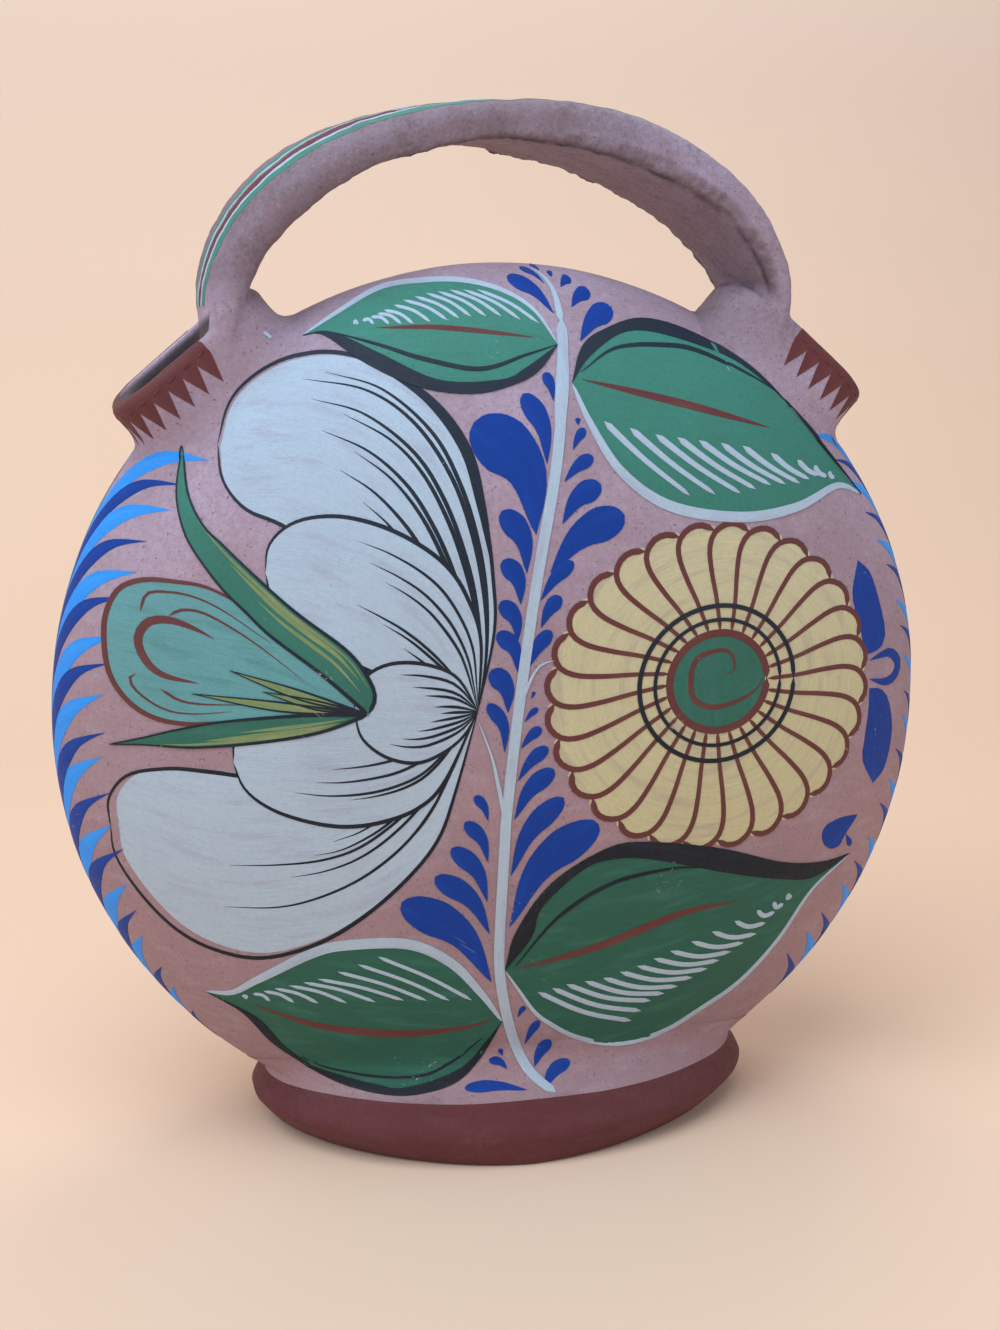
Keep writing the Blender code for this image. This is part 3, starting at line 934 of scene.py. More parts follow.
@dataclass
class FootForm:
    """The oval ring foot, with a soft ridge and a shelf that runs up into the body."""

    body: BodyForm
    end_reach: float = 0.0073
    front_reach: float = 0.0226
    half_width_of_base: float = 0.0783
    ridge_height: float = 0.011
    shoulder_height: float = 0.021
    rim_width: float = 0.010
    knee_low: float = 0.0215
    shelf_low: float = 0.0225
    shelf_rise: float = 0.0155
    sides: int = 192

    def outline(self, inset: float, end_inset: float) -> Array:
        """The foot's outline as rows of x and y, drawn in from its ridge all round.

        Args:
            inset: how far it is drawn in.
            end_inset: how much more at its two ends.

        Returns:
            One row for each point.
        """
        cut = self.body.centre_z - self.body.cut_z
        half_depth = float(self.body.depth_at(np.array(cut))) + 0.0005
        return superellipse(
            self.half_width_of_base + self.end_reach - inset - end_inset,
            half_depth + self.front_reach - inset,
            2.0 - 70.0 * end_inset,
            self.sides,
        )

    def level(self, inset: float, height: float | Array, end_inset: float = 0.0) -> Array:
        """A ring of the foot at a height, drawn in by inset and more at its two ends."""
        flat = self.outline(inset, end_inset)
        return np.column_stack([flat, np.zeros(self.sides) + height])

    def paint_edge(self) -> Array:
        """Height of the line where the maroon ends, lower at the foot's two ends.

        Returns:
            One height for each point round the foot.
        """
        angle = np.arange(self.sides) * 2 * math.pi / self.sides
        wobble = 0.25 * np.sin(3 * angle + 0.8) + 0.15 * np.sin(7 * angle)
        return self.shoulder_height - (3.2 * np.abs(np.cos(angle)) ** 6 - wobble) * MM

    def build(self, clay: Material, slip: Material) -> Object:
        """Makes the foot as one closed ring, maroon below its painted edge.

        Args:
            clay: the finish of the shelf above.
            slip: the finish of the ring below.

        Returns:
            The foot.
        """
        angle = np.arange(self.sides) * 2 * math.pi / self.sides
        edge = self.paint_edge()
        shelf_top = self.shelf_low + self.shelf_rise * np.abs(np.sin(angle)) ** 1.5
        knee_height = self.knee_low + (shelf_top - self.knee_low) * 0.35
        upper, knee = (
            np.array([self.body.outline(h, a[None])[0] for h, a in zip(heights, angle)])
            for heights in (shelf_top, knee_height)
        )
        shoulder = self.level(0.0046, self.shoulder_height)
        outside = [
            (0.0032, 0.0, 0.0050), (0.0024, 0.0004, 0.0046), (0.0019, 0.0013, 0.0040),
            (0.0009, 0.005, 0.0022), (0.0001, 0.009, 0.0004), (0.0, self.ridge_height),
            (0.0010, 0.0132), (0.0034, edge - 0.0016), (0.0042, edge)
        ]
        rings = [self.level(*ring) for ring in outside]
        stop = len(rings) - 1
        rings += blend(shoulder, knee, upper, 10)
        rings.append(upper * np.array([0.94, 0.9, 1.0]))
        inner = self.rim_width + 0.0015
        inside = [(0.004, 0.012), (0.001, 0.0075), (0.0, 0.0013), (-0.0012, 0.0)]
        rings += [self.level(inner + inset, height) for inset, height in inside]
        obj = new_shell("clay_foot", rings, joined_ends=True)
        points, normals = mesh_vectors(obj), mesh_vectors(obj, "normal")
        lift = self.body.lumps(points) * 0.8 + roughness(points, FOOT_GRAIN, 3) * 0.00022
        lift *= np.clip(points[:, 2] / 0.004, 0.0, 1.0)
        set_points(obj, points + normals * lift[:, None])
        coat(obj, clay, slip)
        self.paint_faces(obj, stop)
        return obj

    def paint_faces(self, obj: Object, stop: int) -> None:
        """Gives the faces under the painted edge the second material slot.

        Args:
            obj: the foot.
            stop: how many rows of faces the maroon covers.
        """
        rows = len(obj.data.polygons) // self.sides
        for index, face in enumerate(obj.data.polygons):
            row = index // self.sides
            face.material_index = 1 if row < stop or row > rows - 5 else 0


class Clay:
    """Finished clay pieces, for pressing marks onto them."""

    # Marks further out and higher than this may lie behind a spout, lower ones behind the foot
    spout_side: float = 0.035
    spout_low: float = 0.19
    foot_high: float = 0.062

    def __init__(self, *objects: Object) -> None:
        """Keeps a search tree over each object's faces."""
        graph = bpy.context.evaluated_depsgraph_get()
        self.trees = [BVHTree.FromObject(obj, graph) for obj in objects]

    def nearest(self, points: Array, lift: float) -> Array:
        """Moves points to the nearest clay and a little above it.

        Args:
            points: places near the clay.
            lift: height above the clay.

        Returns:
            Points over the clay.
        """
        found = []
        for point in points.reshape(-1, 3):
            hits = [tree.find_nearest(Vector(point)) for tree in self.trees]
            place, normal, _, _ = min(hits, key=lambda hit: hit[3])
            found.append(place + normal * lift)
        return np.array(found).reshape(points.shape)

    def in_front(self, points: Array, eye: Vector, lift: float) -> Array:
        """Brings points forward to clay that stands between them and the eye.

        Args:
            points: places on the body.
            eye: where they are looked at from.
            lift: height above the clay.

        Returns:
            The points, those behind a spout or the foot moved onto it.
        """
        flat = points.reshape(-1, 3).copy()
        high_side = (np.abs(flat[:, 0]) > self.spout_side) & (flat[:, 2] > self.spout_low)
        for index in np.flatnonzero(high_side | (flat[:, 2] < self.foot_high)):
            way = Vector(flat[index]) - eye
            for tree in self.trees:
                place, normal, _, distance = tree.ray_cast(eye, way.normalized(), way.length)
                if place is not None and normal.dot(way) < 0.0:
                    flat[index] = place + normal * lift
                    way = Vector(flat[index]) - eye
        return flat.reshape(points.shape)


Surface = Callable[[Array, float], Array]


@dataclass
class Ground:
    """One side of the vase, ready to be painted: -1 is the front and 1 the back."""

    body: BodyForm
    clay: Clay
    side: int
    eye: Vector

    def face(self, places: Array, lift: float) -> Array:
        """Turns places seen straight on into points over the clay."""
        return self.clay.in_front(self.body.face(places, self.side, lift), self.eye, lift)

    def rim(self, mirror: int) -> Surface:
        """The surface near the rim, measured along it and away from it.

        Args:
            mirror: 1 for the left end, -1 for the right.

        Returns:
            What turns such places into points over the clay.
        """

        def over(places: Array, lift: float) -> Array:
            """Turns places near the rim into points over the clay.

            Args:
                places: the way along the rim and the way from it, in metres.
                lift: height above the clay.

            Returns:
                Points over the clay.
            """
            angle = places[..., 0] / self.body.radius
            angle = angle if mirror > 0 else math.pi - angle
            turned = np.stack([angle, places[..., 1]], axis=-1)
            return self.clay.in_front(self.body.rim(turned, self.side, lift), self.eye, lift)

        return over


@dataclass
class PaintLayer:
    """Marks of one paint, all laid at one height and joined into one thin skin."""

    name: str
    slot: str
    material: Material
    lift: float
    sink: float = 0.00006
    marks: list[Object] = field(default_factory=list)

    def lay(self, flat: Array, uv: Array, surface: Surface) -> None:
        """Lays one sheet of paint on the clay.

        Args:
            flat: rows and columns of places, in the surface's own measures.
            uv: along and across the mark, in metres.
            surface: turns places into points over the clay.
        """
        height = self.lift + 0.000002 * (len(self.marks) % 12)
        points = surface(flat, height)
        row, column = points.shape[0] // 2, points.shape[1] // 2
        below = surface(flat[row : row + 1, column : column + 1], height - 0.0005)[0, 0]
        first = points[min(row + 1, len(points) - 1), column] - points[row - 1, column]
        last_column = min(column + 1, points.shape[1] - 1)
        second = points[row, last_column] - points[row, column - 1]
        out = points[row, column] - below
        if np.dot(np.cross(second, first), out) < 0:
            points, uv = points[:, ::-1], uv[:, ::-1]
        self.marks.append(new_sheet(f"{self.name}_mark", points, uv))

    def spread(self, flat: Array, along: Array, aside: Array, surface: Surface) -> None:
        """Lays a mark that is measured in millimetres."""
        run = np.broadcast_to(along[:, None], aside.shape)
        self.lay(flat * MM, np.stack([run, aside], axis=-1) * MM, surface)

    def stroke(
        self,
        line: Sequence[Point],
        width: float,
        surface: Surface,
        brush: Brush = Brush.LINE,
        across: int = 4,
    ) -> None:
        """Paints one brush stroke.

        Args:
            line: points that the stroke goes through, in millimetres.
            width: its full width in millimetres.
            surface: turns places in metres into points over the clay.
            brush: how the width runs along the stroke.
            across: how many faces lie side by side in it.
        """
        length = length_of(line)
        if brush is Brush.COMMA:
            t = np.linspace(0.0, 1.0, int(np.clip(length / 2.0, 15, 72))) ** 1.35
            middle = smooth_line(line, 200)[np.round(t * 199).astype(int)]
        else:
            t = np.linspace(0.0, 1.0, int(np.clip(length / 2.0, 9, 72)))
            middle = smooth_line(line, len(t))
        half = np.maximum(brush.widths(t, 0.5 * width / max(length, width)) * width / 2, 0.02)
        aside = half[:, None] * np.linspace(-1.0, 1.0, across + 1)[None]
        flat = middle[:, None] + left_of(middle)[:, None] * aside[..., None]
        self.spread(flat, t * length, aside, surface)

    def panel(
        self, one: Sequence[Point], other: Sequence[Point], surface: Surface, across: int = 16
    ) -> None:
        """Paints the space between two edges that start and end together.

        Args:
            one: points along one edge, in millimetres.
            other: points along the other edge.
            surface: turns places in metres into points over the clay.
            across: how many faces lie side by side between the edges.
        """
        length = length_of(one)
        count = int(np.clip(length / 2.0, 17, 81))
        t = (1.0 - np.cos(np.linspace(0.0, math.pi, count))) / 2
        pick = np.round(t * 399).astype(int)
        first, second = smooth_line(one, 400)[pick], smooth_line(other, 400)[pick]
        size = np.linalg.norm(second - first, axis=1)
        thin = size < 0.04
        second[thin] = first[thin] + np.array([0.03, 0.03])
        share = np.linspace(0.0, 1.0, across + 1)
        flat = first[:, None] + (second - first)[:, None] * share[None, :, None]
        self.spread(flat, t * length, size[:, None] * (share[None] - 0.5), surface)

    def build(self) -> Object:
        """Joins the marks, gives them their thickness and hands them to the frame.

        Returns:
            The finished skin of paint.
        """
        select_only(*self.marks)
        if len(self.marks) > 1:
            bpy.ops.object.join()
        obj = bpy.context.object
        obj.name = self.name
        obj.data.name = self.name
        body = obj.modifiers.new("paint", "SOLIDIFY")
        body.thickness = self.lift + self.sink
        body.offset = -1.0
        apply_all(obj)
        coat(obj, self.material)
        shade(obj, 30.0)
        hand_over(obj, self.slot)
        return obj


def hand_over(obj: Object, slot: str, *nodes: str) -> None:
    """Hangs a piece on the body it rides on, hides the frame's nodes that it stands for and logs
    it.

    Args:
        obj: the finished piece.
        slot: the record's material slot; not used.
        nodes: the frame's nodes that the piece replaces.
    """
    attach(obj, BODY)
    if nodes:
        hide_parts(*nodes)
    LOG.info("piece %s: %d faces", obj.name, len(obj.data.polygons))


class Board:
    """Draws one node tree: adds nodes, fills their sockets and joins them."""

    def __init__(self, tree: Tree) -> None:
        """Keeps the tree that is drawn in."""
        self.tree = tree

    def node(self, kind: str, inputs: dict | None = None, **settings: object) -> Node:
        """Adds a node.

        Args:
            kind: the node's type.
            inputs: a value or another node's output for each socket.
            settings: the node's own properties.

        Returns:
            The new node.
        """
        made = self.tree.nodes.new(kind)
        for name, value in settings.items():
            setattr(made, name, value)
        for name, value in (inputs or {}).items():
            if isinstance(value, Socket):
                self.tree.links.new(value, made.inputs[name])
            else:
                made.inputs[name].default_value = value
        return made

    def feed(self, node: Node, values: dict[str, Socket]) -> None:
        """Joins each value to the node's socket of that name."""
        for name, value in values.items():
            self.tree.links.new(value, node.inputs[name])

    def noise(self, vector: object, scale: float, detail: float = 3.0) -> Socket:
        """A noise pattern from 0 to 1.

        Args:
            vector: where the pattern is read.
            scale: how fine it is.
            detail: how many finer layers it has.

        Returns:
            The pattern.
        """
        made = self.node(
            "ShaderNodeTexNoise", {"Vector": vector, "Scale": scale, "Detail": detail}
        )
        return made.outputs["Fac"]

    def ramp(
        self, value: object, low: float, high: float, floor: float = 0.0, top: float = 1.0
    ) -> Socket:
        """Spreads a value from low and high to floor and top, with soft ends.

        Args:
            value: the value.
            low: what becomes floor.
            high: what becomes top.
            floor: the least that comes out.
            top: the most that comes out.

        Returns:
            The new value.
        """
        made = self.node(
            "ShaderNodeMapRange",
            {"Value": value, "From Min": low, "From Max": high, "To Min": floor, "To Max": top},
            interpolation_type="SMOOTHSTEP",
        )
        return made.outputs["Result"]

    def sum(self, operation: str, one: object, other: object) -> Socket:
        """One arithmetic step on two values."""
        made = self.node("ShaderNodeMath", {0: one, 1: other}, operation=operation)
        return made.outputs[0]

    def mix(self, share: object, one: object, other: object) -> Socket:
        """Mixes two colours."""
        made = self.node("ShaderNodeMix", {0: share, 6: one, 7: other}, data_type="RGBA")
        return made.outputs[2]

    def stretch(self, vector: object, scale: Place) -> Socket:
        """Stretches a pattern's place along its axes."""
        made = self.node("ShaderNodeVectorMath", {0: vector, 1: scale}, operation="MULTIPLY")
        return made.outputs[0]

    def coats(self, ground: Socket, *layers: tuple[Socket, Colour]) -> Socket:
        """Lays colours over a ground, one after another.

        Args:
            ground: the colour underneath.
            layers: how much of each colour shows, and the colour.

        Returns:
            The colour seen.
        """
        for share, colour in layers:
            ground = self.mix(share, ground, rgba(colour))
        return ground

    def group(self, tree: Tree, inputs: dict) -> bpy.types.bpy_prop_collection:
        """Adds a shared effect and returns its outputs."""
        return self.node("ShaderNodeGroup", inputs, node_tree=tree).outputs

    def scale(self, vector: Socket, by: Socket) -> Socket:
        """Makes a pattern finer by a number."""
        inputs = {0: vector, "Scale": by}
        return self.node("ShaderNodeVectorMath", inputs, operation="SCALE").outputs[0]

    def bump(self, height: object, strength: float, distance: float) -> Socket:
        """Normals tilted by a pattern of heights."""
        inputs = {"Height": height, "Strength": strength, "Distance": distance}
        return self.node("ShaderNodeBump", inputs).outputs["Normal"]


def new_material(name: str, specular: float) -> tuple[Material, Board, Node]:
    """Starts a material.

    Args:
        name: its name.
        specular: how strongly it mirrors light.

    Returns:
        The material, a board on its nodes and its shader.
    """
    material = bpy.data.materials.new(name)
    material.use_nodes = True
    shader = material.node_tree.nodes["Principled BSDF"]
    shader.inputs["Specular IOR Level"].default_value = specular
    return material, Board(material.node_tree), shader


def new_group(
    name: str, value: str | None, *outputs: str
) -> tuple[Tree, Board, bpy.types.bpy_prop_collection, Node]:
    """Starts a shader node group that takes a vector.

    Args:
        name: the group's name.
        value: the name of a number that it takes too, if any.
        outputs: the name of each number that it gives.

    Returns:
        The group, a board on it, what it takes and its output node.
    """
    tree = bpy.data.node_groups.new(name, "ShaderNodeTree")
    tree.interface.new_socket(name="Vector", in_out="INPUT", socket_type="NodeSocketVector")
    labels = [(value, "INPUT")] if value else []
    for label, way in labels + [(label, "OUTPUT") for label in outputs]:
        tree.interface.new_socket(name=label, in_out=way, socket_type="NodeSocketFloat")
    board = Board(tree)
    return tree, board, board.node("NodeGroupInput").outputs, board.node("NodeGroupOutput")


class Effects:
    """Node groups that several finishes share."""

    def __init__(self) -> None:
        """Builds each group once."""
        self.grain = self.make_grain()
        self.streaks = self.make_streaks()
        self.scratches = self.make_scratches()
        self.dirt_patches_and_shade = self.make_dirt_patches_and_shade()
        self.fade = self.make_sheen_rise()

    @staticmethod
    def make_grain() -> Tree:
        """Fine sand in the slip, with pinholes.

        Returns:
            A group with the outputs Height, Pits and Dots.
        """
        tree, board, start, end = new_group("slip_grain", "Scale", "Height", "Pits", "Dots")
        place = board.scale(start["Vector"], start["Scale"])
        sand = board.noise(place, 1.0, 4.0)
        coarse = board.noise(place, 0.28, 2.0)
        height = board.sum("ADD", sand, board.sum("MULTIPLY", coarse, 0.8))
        pits = board.ramp(board.noise(place, 0.5, 1.0), 0.69, 0.74)
        dots = board.ramp(board.noise(place, 0.8, 0.0), 0.7, 0.78)
        board.feed(end, {"Height": height, "Pits": pits, "Dots": dots})
        return tree

    @staticmethod
    def make_streaks() -> Tree:
        """Brush hairs that run along a stroke, and cloudy thick and thin paint.

        Returns:
            A group with the outputs Streak and Cloud.
        """
        tree, board, start, end = new_group("brush_streaks", "Hairs", "Streak", "Cloud")
        long = board.stretch(start["Vector"], (0.05, 1.0, 1.0))
        place = board.scale(long, start["Hairs"])
        streak = board.ramp(board.noise(place, 1.0, 3.0), 0.3, 0.72)
        wide = board.stretch(start["Vector"], (45.0, 260.0, 1.0))
        cloud = board.ramp(board.noise(wide, 1.0, 3.0), 0.48, 0.72)
        board.feed(end, {"Streak": streak, "Cloud": cloud})
        return tree

    @staticmethod
    def make_scratches() -> Tree:
        """Rare pale hairlines and rubbed spots.

        Returns:
            A group with the outputs Lines and Rubs.
        """
        tree, board, start, end = new_group("scratches_and_rubs", None, "Lines", "Rubs")
        turned = board.node(
            "ShaderNodeVectorRotate",
            {"Vector": start["Vector"], "Angle": 0.9},
            rotation_type="Y_AXIS",
        ).outputs[0]
        lines = board.ramp(
            board.noise(board.stretch(turned, (1400.0, 1400.0, 45.0)), 1.0, 0.0), 0.77, 0.82
        )
        where = board.ramp(board.noise(start["Vector"], 26.0, 2.0), 0.56, 0.68)
        spots = board.ramp(board.noise(start["Vector"], 900.0, 3.0), 0.6, 0.7)
        patch = board.ramp(board.noise(start["Vector"], 48.0, 2.0), 0.66, 0.74)
        lines, rubs = board.sum("MULTIPLY", lines, where), board.sum("MULTIPLY", spots, patch)
        board.feed(end, {"Lines": lines, "Rubs": rubs})
        return tree

    @staticmethod
    def make_sheen_rise() -> Tree:
        """How much painted sheen of top light lies on the slip, from the foot up to the shoulders.

        Returns:
            A group with the output Share.
        """
        tree, board, start, end = new_group("painted_top_sheen", None, "Share")
        place = start["Vector"]
        height = board.node("ShaderNodeSeparateXYZ", {"Vector": place}).outputs["Z"]
        uneven = board.sum("MULTIPLY", board.noise(place, 24.0, 3.0), 0.06)
        board.feed(end, {"Share": board.ramp(board.sum("ADD", height, uneven), 0.12, 0.31)})
        return tree

    @staticmethod
    def make_dirt_patches_and_shade() -> Tree:
        """Grey dirt that gathers in patches and in the pores, spread further by Cover, which also
        brings painted shade into it.

        Returns:
            A group with the output Mask.
        """
        tree, board, start, end = new_group("grey_dirt_and_shade", "Cover", "Mask")
        patch = board.sum("MULTIPLY", board.noise(start["Vector"], 110.0, 5.0), 0.6)
        pores = board.sum("MULTIPLY", board.noise(start["Vector"], 800.0, 4.0), 0.6)
        soaked = board.sum("ADD", board.sum("ADD", patch, pores), start["Cover"])
        board.feed(end, {"Mask": board.ramp(soaked, 0.78, 1.2, 0.0, 0.9)})
        return tree


def rgba(colour: Colour) -> tuple[float, float, float, float]:
    """A colour as a socket takes it."""
    return (*colour, 1.0)


@dataclass(frozen=True)
class PaintFinish:
    """One brushed slip paint, deeper in tone low on the vase and, high on it, lighter and cooler as
    a painted sheen of top light.
    """

    name: str
    colour: Colour
    # The colour high on the vase, lighter and cooler: a painted sheen of top light.
    top_sheen: Colour
    thin: Colour
    dirt: Colour
    streak: float = 0.35
    hairs: float = 2600.0
    roughness: float = 0.62
    wear: float = 0.5
    mottle: float = 0.14

    def build(self, effects: Effects) -> Material:
        """Draws the paint's material.

        Args:
            effects: the shared node groups.

        Returns:
            The material.
        """
        material, board, shader = new_material(self.name, specular=0.25)
        places = board.node("ShaderNodeTexCoord")
        solid = places.outputs["Object"]
        brushed = {"Vector": places.outputs["UV"], "Hairs": self.hairs}
        hairs = board.group(effects.streaks, brushed)
        grain = board.group(effects.grain, {"Vector": solid, "Scale": 2400.0})
        marks = board.group(effects.scratches, {"Vector": solid})
        fade = board.group(effects.fade, {"Vector": solid})
        mottle = board.ramp(grain["Height"], 0.7, 1.15, 0.0, self.mottle)
        soft = board.ramp(board.noise(solid, 14.0, 3.0), 0.45, 0.75, 0.0, 0.25 * self.wear)
        colour = board.coats(
            # Higher on the vase the colour is mixed towards a lighter, cooler one: a painted sheen
            # of top light.
            board.mix(fade["Share"], rgba(self.colour), rgba(self.top_sheen)),
            (board.sum("MULTIPLY", hairs["Streak"], self.streak * 0.5), self.thin),
            (board.sum("MULTIPLY", hairs["Cloud"], self.streak), self.thin),
            (mottle, self.dirt),
            (soft, self.dirt),
            (board.sum("MULTIPLY", grain["Pits"], 0.55 * self.wear), self.dirt),
            (board.sum("MULTIPLY", marks["Rubs"], self.wear), RUBBED),
            (board.sum("MULTIPLY", marks["Lines"], 0.6 * self.wear), SCRATCHED),
        )
        rough = self.roughness - 0.06, self.roughness + 0.1
        rough = board.ramp(hairs["Streak"], 0.0, 1.0, *rough)
        height = board.sum("ADD", grain["Height"], board.sum("MULTIPLY", hairs["Streak"], 0.5))
        normal = board.bump(height, 0.6, 0.00014)
        board.feed(shader, {"Base Color": colour, "Roughness": rough, "Normal": normal})
        return material


@dataclass(frozen=True)
class ClayFinish:
    """Slip-coated clay, with dirt where hands and tables leave it, painted shade down its mouths
    and in grooves and corners, and a painted sheen of top light high on the vase.
    """

    name: str
    colour: Colour
    pale: Colour
    deep: Colour
    dirt: Colour
    roughness: float = 0.74
    # How much grey dirt lies everywhere, and how much the mask of dirt and painted shade adds to
    # it.
    dirt_patches_and_shade: float = 0.1
    dirt_and_shade: float = 0.2
    bump: float = 0.5
    dots: float = 0.4
    # The colour mixed in high on the vase: a painted sheen of top light where it differs from the
    # colour.
    top_sheen: Colour = (0.3, 0.15, 0.11)

    def build(self, effects: Effects) -> Material:
        """Draws the clay's material.

        Args:
            effects: the shared node groups.

        Returns:
            The material.
        """
        material, board, shader = new_material(self.name, specular=0.35)
        solid = board.node("ShaderNodeTexCoord").outputs["Object"]
        # Both masks hold dirt together with painted shade down the mouths; the first also holds
        # painted shade in grooves and corners.
        dirt_and_shade, edge_dirt_and_bore_shade = (
            board.node("ShaderNodeAttribute", attribute_name=mask).outputs["Fac"]
            for mask in ("dirt_and_shade", "edge_dirt_and_bore_shade")
        )
        grain = board.group(effects.grain, {"Vector": solid, "Scale": 2000.0})
        marks = board.group(effects.scratches, {"Vector": solid})
        # The grey dirt spreads further where the mask of dirt and painted shade is high, so it
        # paints shade too.
        cover = board.sum("ADD", board.sum("MULTIPLY", dirt_and_shade, self.dirt_and_shade), self.dirt_patches_and_shade)
        dirt_patches_and_shade = board.group(effects.dirt_patches_and_shade, {"Vector": solid, "Cover": cover})
        fade = board.group(effects.fade, {"Vector": solid})
        wiped = board.noise(board.stretch(solid, (90.0, 90.0, 260.0)), 1.0, 4.0)
        cloud = board.ramp(board.noise(solid, 22.0, 4.0), 0.3, 0.7, 0.0, 0.6)
        colour = board.coats(
            # Higher on the vase the colour is mixed towards a lighter, cooler one: a painted sheen
            # of top light.
            board.mix(fade["Share"], rgba(self.colour), rgba(self.top_sheen)),
            (cloud, self.deep),
            (board.ramp(wiped, 0.45, 0.8, 0.0, 0.35), self.pale),
            (board.ramp(grain["Height"], 0.65, 1.15, 0.0, 0.5), self.deep),
            (board.sum("MULTIPLY", marks["Rubs"], 0.5), self.pale),
            # These two lay the dirt colour where the mask of dirt and painted shade asks for it, so
            # they paint both dirt and shade.
            (board.sum("MULTIPLY", dirt_and_shade, 0.68), self.dirt),
            (dirt_patches_and_shade["Mask"], self.dirt),
            (board.sum("MULTIPLY", grain["Pits"], 0.6), self.dirt),
            (board.sum("MULTIPLY", grain["Dots"], self.dots), self.pale),
            # Near black along the strap's worn corners as dirt, and down the mouths as painted
            # shade.
            (board.sum("MULTIPLY", edge_dirt_and_bore_shade, 0.85), EDGE_DIRT_AND_BORE_SHADE),
        )
        rough = self.roughness - 0.08, self.roughness + 0.08
        rough = board.ramp(grain["Height"], 0.4, 1.3, *rough)
        deep = board.sum("MULTIPLY", grain["Pits"], -1.2)
        height = board.sum("ADD", grain["Height"], deep)
        height = board.sum("ADD", height, board.sum("MULTIPLY", wiped, 0.7))
        normal = board.bump(height, self.bump, 0.0002)
        board.feed(shader, {"Base Color": colour, "Roughness": rough, "Normal": normal})
        return material


class Palette:
    """Every finish on the vase."""

    def __init__(self, effects: Effects) -> None:
        """Builds the materials.

        Args:
            effects: the shared node groups.
        """
        # Grey is laid as dirt, and also as the painted shade in the mouths, grooves and corners.
        grey = (0.14, 0.088, 0.094)
        self.pink = ClayFinish(
            "pink_slip",
            (0.38, 0.225, 0.235),
            (0.50, 0.39, 0.46),
            (0.29, 0.18, 0.20),
            grey,
            # High on the vase the pink turns lighter and cooler: a painted sheen of top light.
            top_sheen=(0.47, 0.39, 0.55),
            dots=0.25,
        ).build(effects)
        self.foot = ClayFinish(
            "maroon_slip",
            (0.125, 0.026, 0.029),
            (0.17, 0.062, 0.07),
            (0.095, 0.019, 0.022),
            (0.075, 0.028, 0.03),
            roughness=0.6,
            dirt_patches_and_shade=-0.16,
            dots=0.05,
            top_sheen=(0.125, 0.026, 0.029),
        ).build(effects)
        self.bare = ClayFinish(
            "bare_clay", (0.3, 0.15, 0.11), (0.4, 0.24, 0.18), (0.22, 0.1, 0.075), grey
        ).build(effects)
        # Each paint has its colour, a lighter and cooler one for high on the vase as a painted
        # sheen of top light, its thin streaks, its dirt and how streaky it is.
        for name, colour, top_sheen, thin, dirt, streak in [
            ("white", (0.44, 0.53, 0.60), (0.44, 0.57, 0.70), (0.36, 0.34, 0.45),
             (0.24, 0.24, 0.30), 0.42),
            ("black", (0.006, 0.008, 0.013), (0.012, 0.024, 0.045), (0.02, 0.024, 0.034),
             (0.05, 0.05, 0.06), 0.5),
            ("green", (0.022, 0.105, 0.066), (0.052, 0.25, 0.195), (0.05, 0.19, 0.14),
             (0.025, 0.05, 0.04), 0.4),
            ("olive", (0.17, 0.25, 0.1), (0.17, 0.25, 0.1), (0.3, 0.32, 0.15),
             (0.06, 0.09, 0.04), 0.8),
            ("teal", (0.13, 0.34, 0.35), (0.13, 0.34, 0.36), (0.085, 0.24, 0.23),
             (0.09, 0.13, 0.12), 0.6),
            ("yellow", (0.60, 0.52, 0.28), (0.64, 0.58, 0.37), (0.40, 0.34, 0.27),
             (0.32, 0.25, 0.17), 0.6),
            ("maroon", (0.13, 0.035, 0.03), (0.13, 0.03, 0.036), (0.17, 0.06, 0.05),
             (0.07, 0.03, 0.03), 0.5),
            ("dark_blue", (0.001, 0.036, 0.26), (0.0, 0.038, 0.29), (0.003, 0.06, 0.38),
             (0.008, 0.03, 0.12), 0.5),
            ("light_blue", (0.022, 0.27, 0.85), (0.02, 0.29, 0.88), (0.05, 0.36, 0.9),
             (0.04, 0.17, 0.45), 0.5),
        ]:
            finish = PaintFinish(f"{name}_paint", colour, top_sheen, thin, dirt, streak)
            setattr(self, name, finish.build(effects))


@dataclass
class Leaf:
    """A pointed leaf with a light and a dark edge, a midrib and white hatching."""

    light: list[Point]
    dark: list[Point]
    inner: list[Point]
    thin: list[Point]
    rib: list[Point]
    hatch_from: list[Point]
    hatch_to: list[Point]
    hatches: int
    bend: float = 1.0
    light_width: float = 2.0
    hatch_width: float = 1.3
    rib_width: float = 2.9
    hatch_brush: Brush = Brush.LINE

    def paint(self, layers: "Layers", face: Surface) -> None:
        """Paints the leaf.

        Args:
            layers: the paints.
            face: turns places into points over the clay.
        """
        layers.green.panel(self.light, self.dark, face, 22)
        layers.black.panel(self.dark, self.inner, face, 6)
        layers.black.stroke(self.thin, 1.3, face, Brush.LEAF)
        layers.white.stroke(self.light, self.light_width, face, Brush.PAD)
        layers.maroon.stroke(self.rib, self.rib_width, face, Brush.LEAF)
        knots = np.arange(len(self.hatch_from))
        at = np.linspace(0, knots[-1], self.hatches)
        ends = np.hstack([np.array(self.hatch_from, float), np.array(self.hatch_to, float)])
        rows = np.stack([np.interp(at, knots, column) for column in ends.T], axis=1)
        for x, z, to_x, to_z in rows:
            mark = bow((x, z), (to_x, to_z), self.bend)
            layers.white.stroke(mark, self.hatch_width, face, self.hatch_brush, 3)


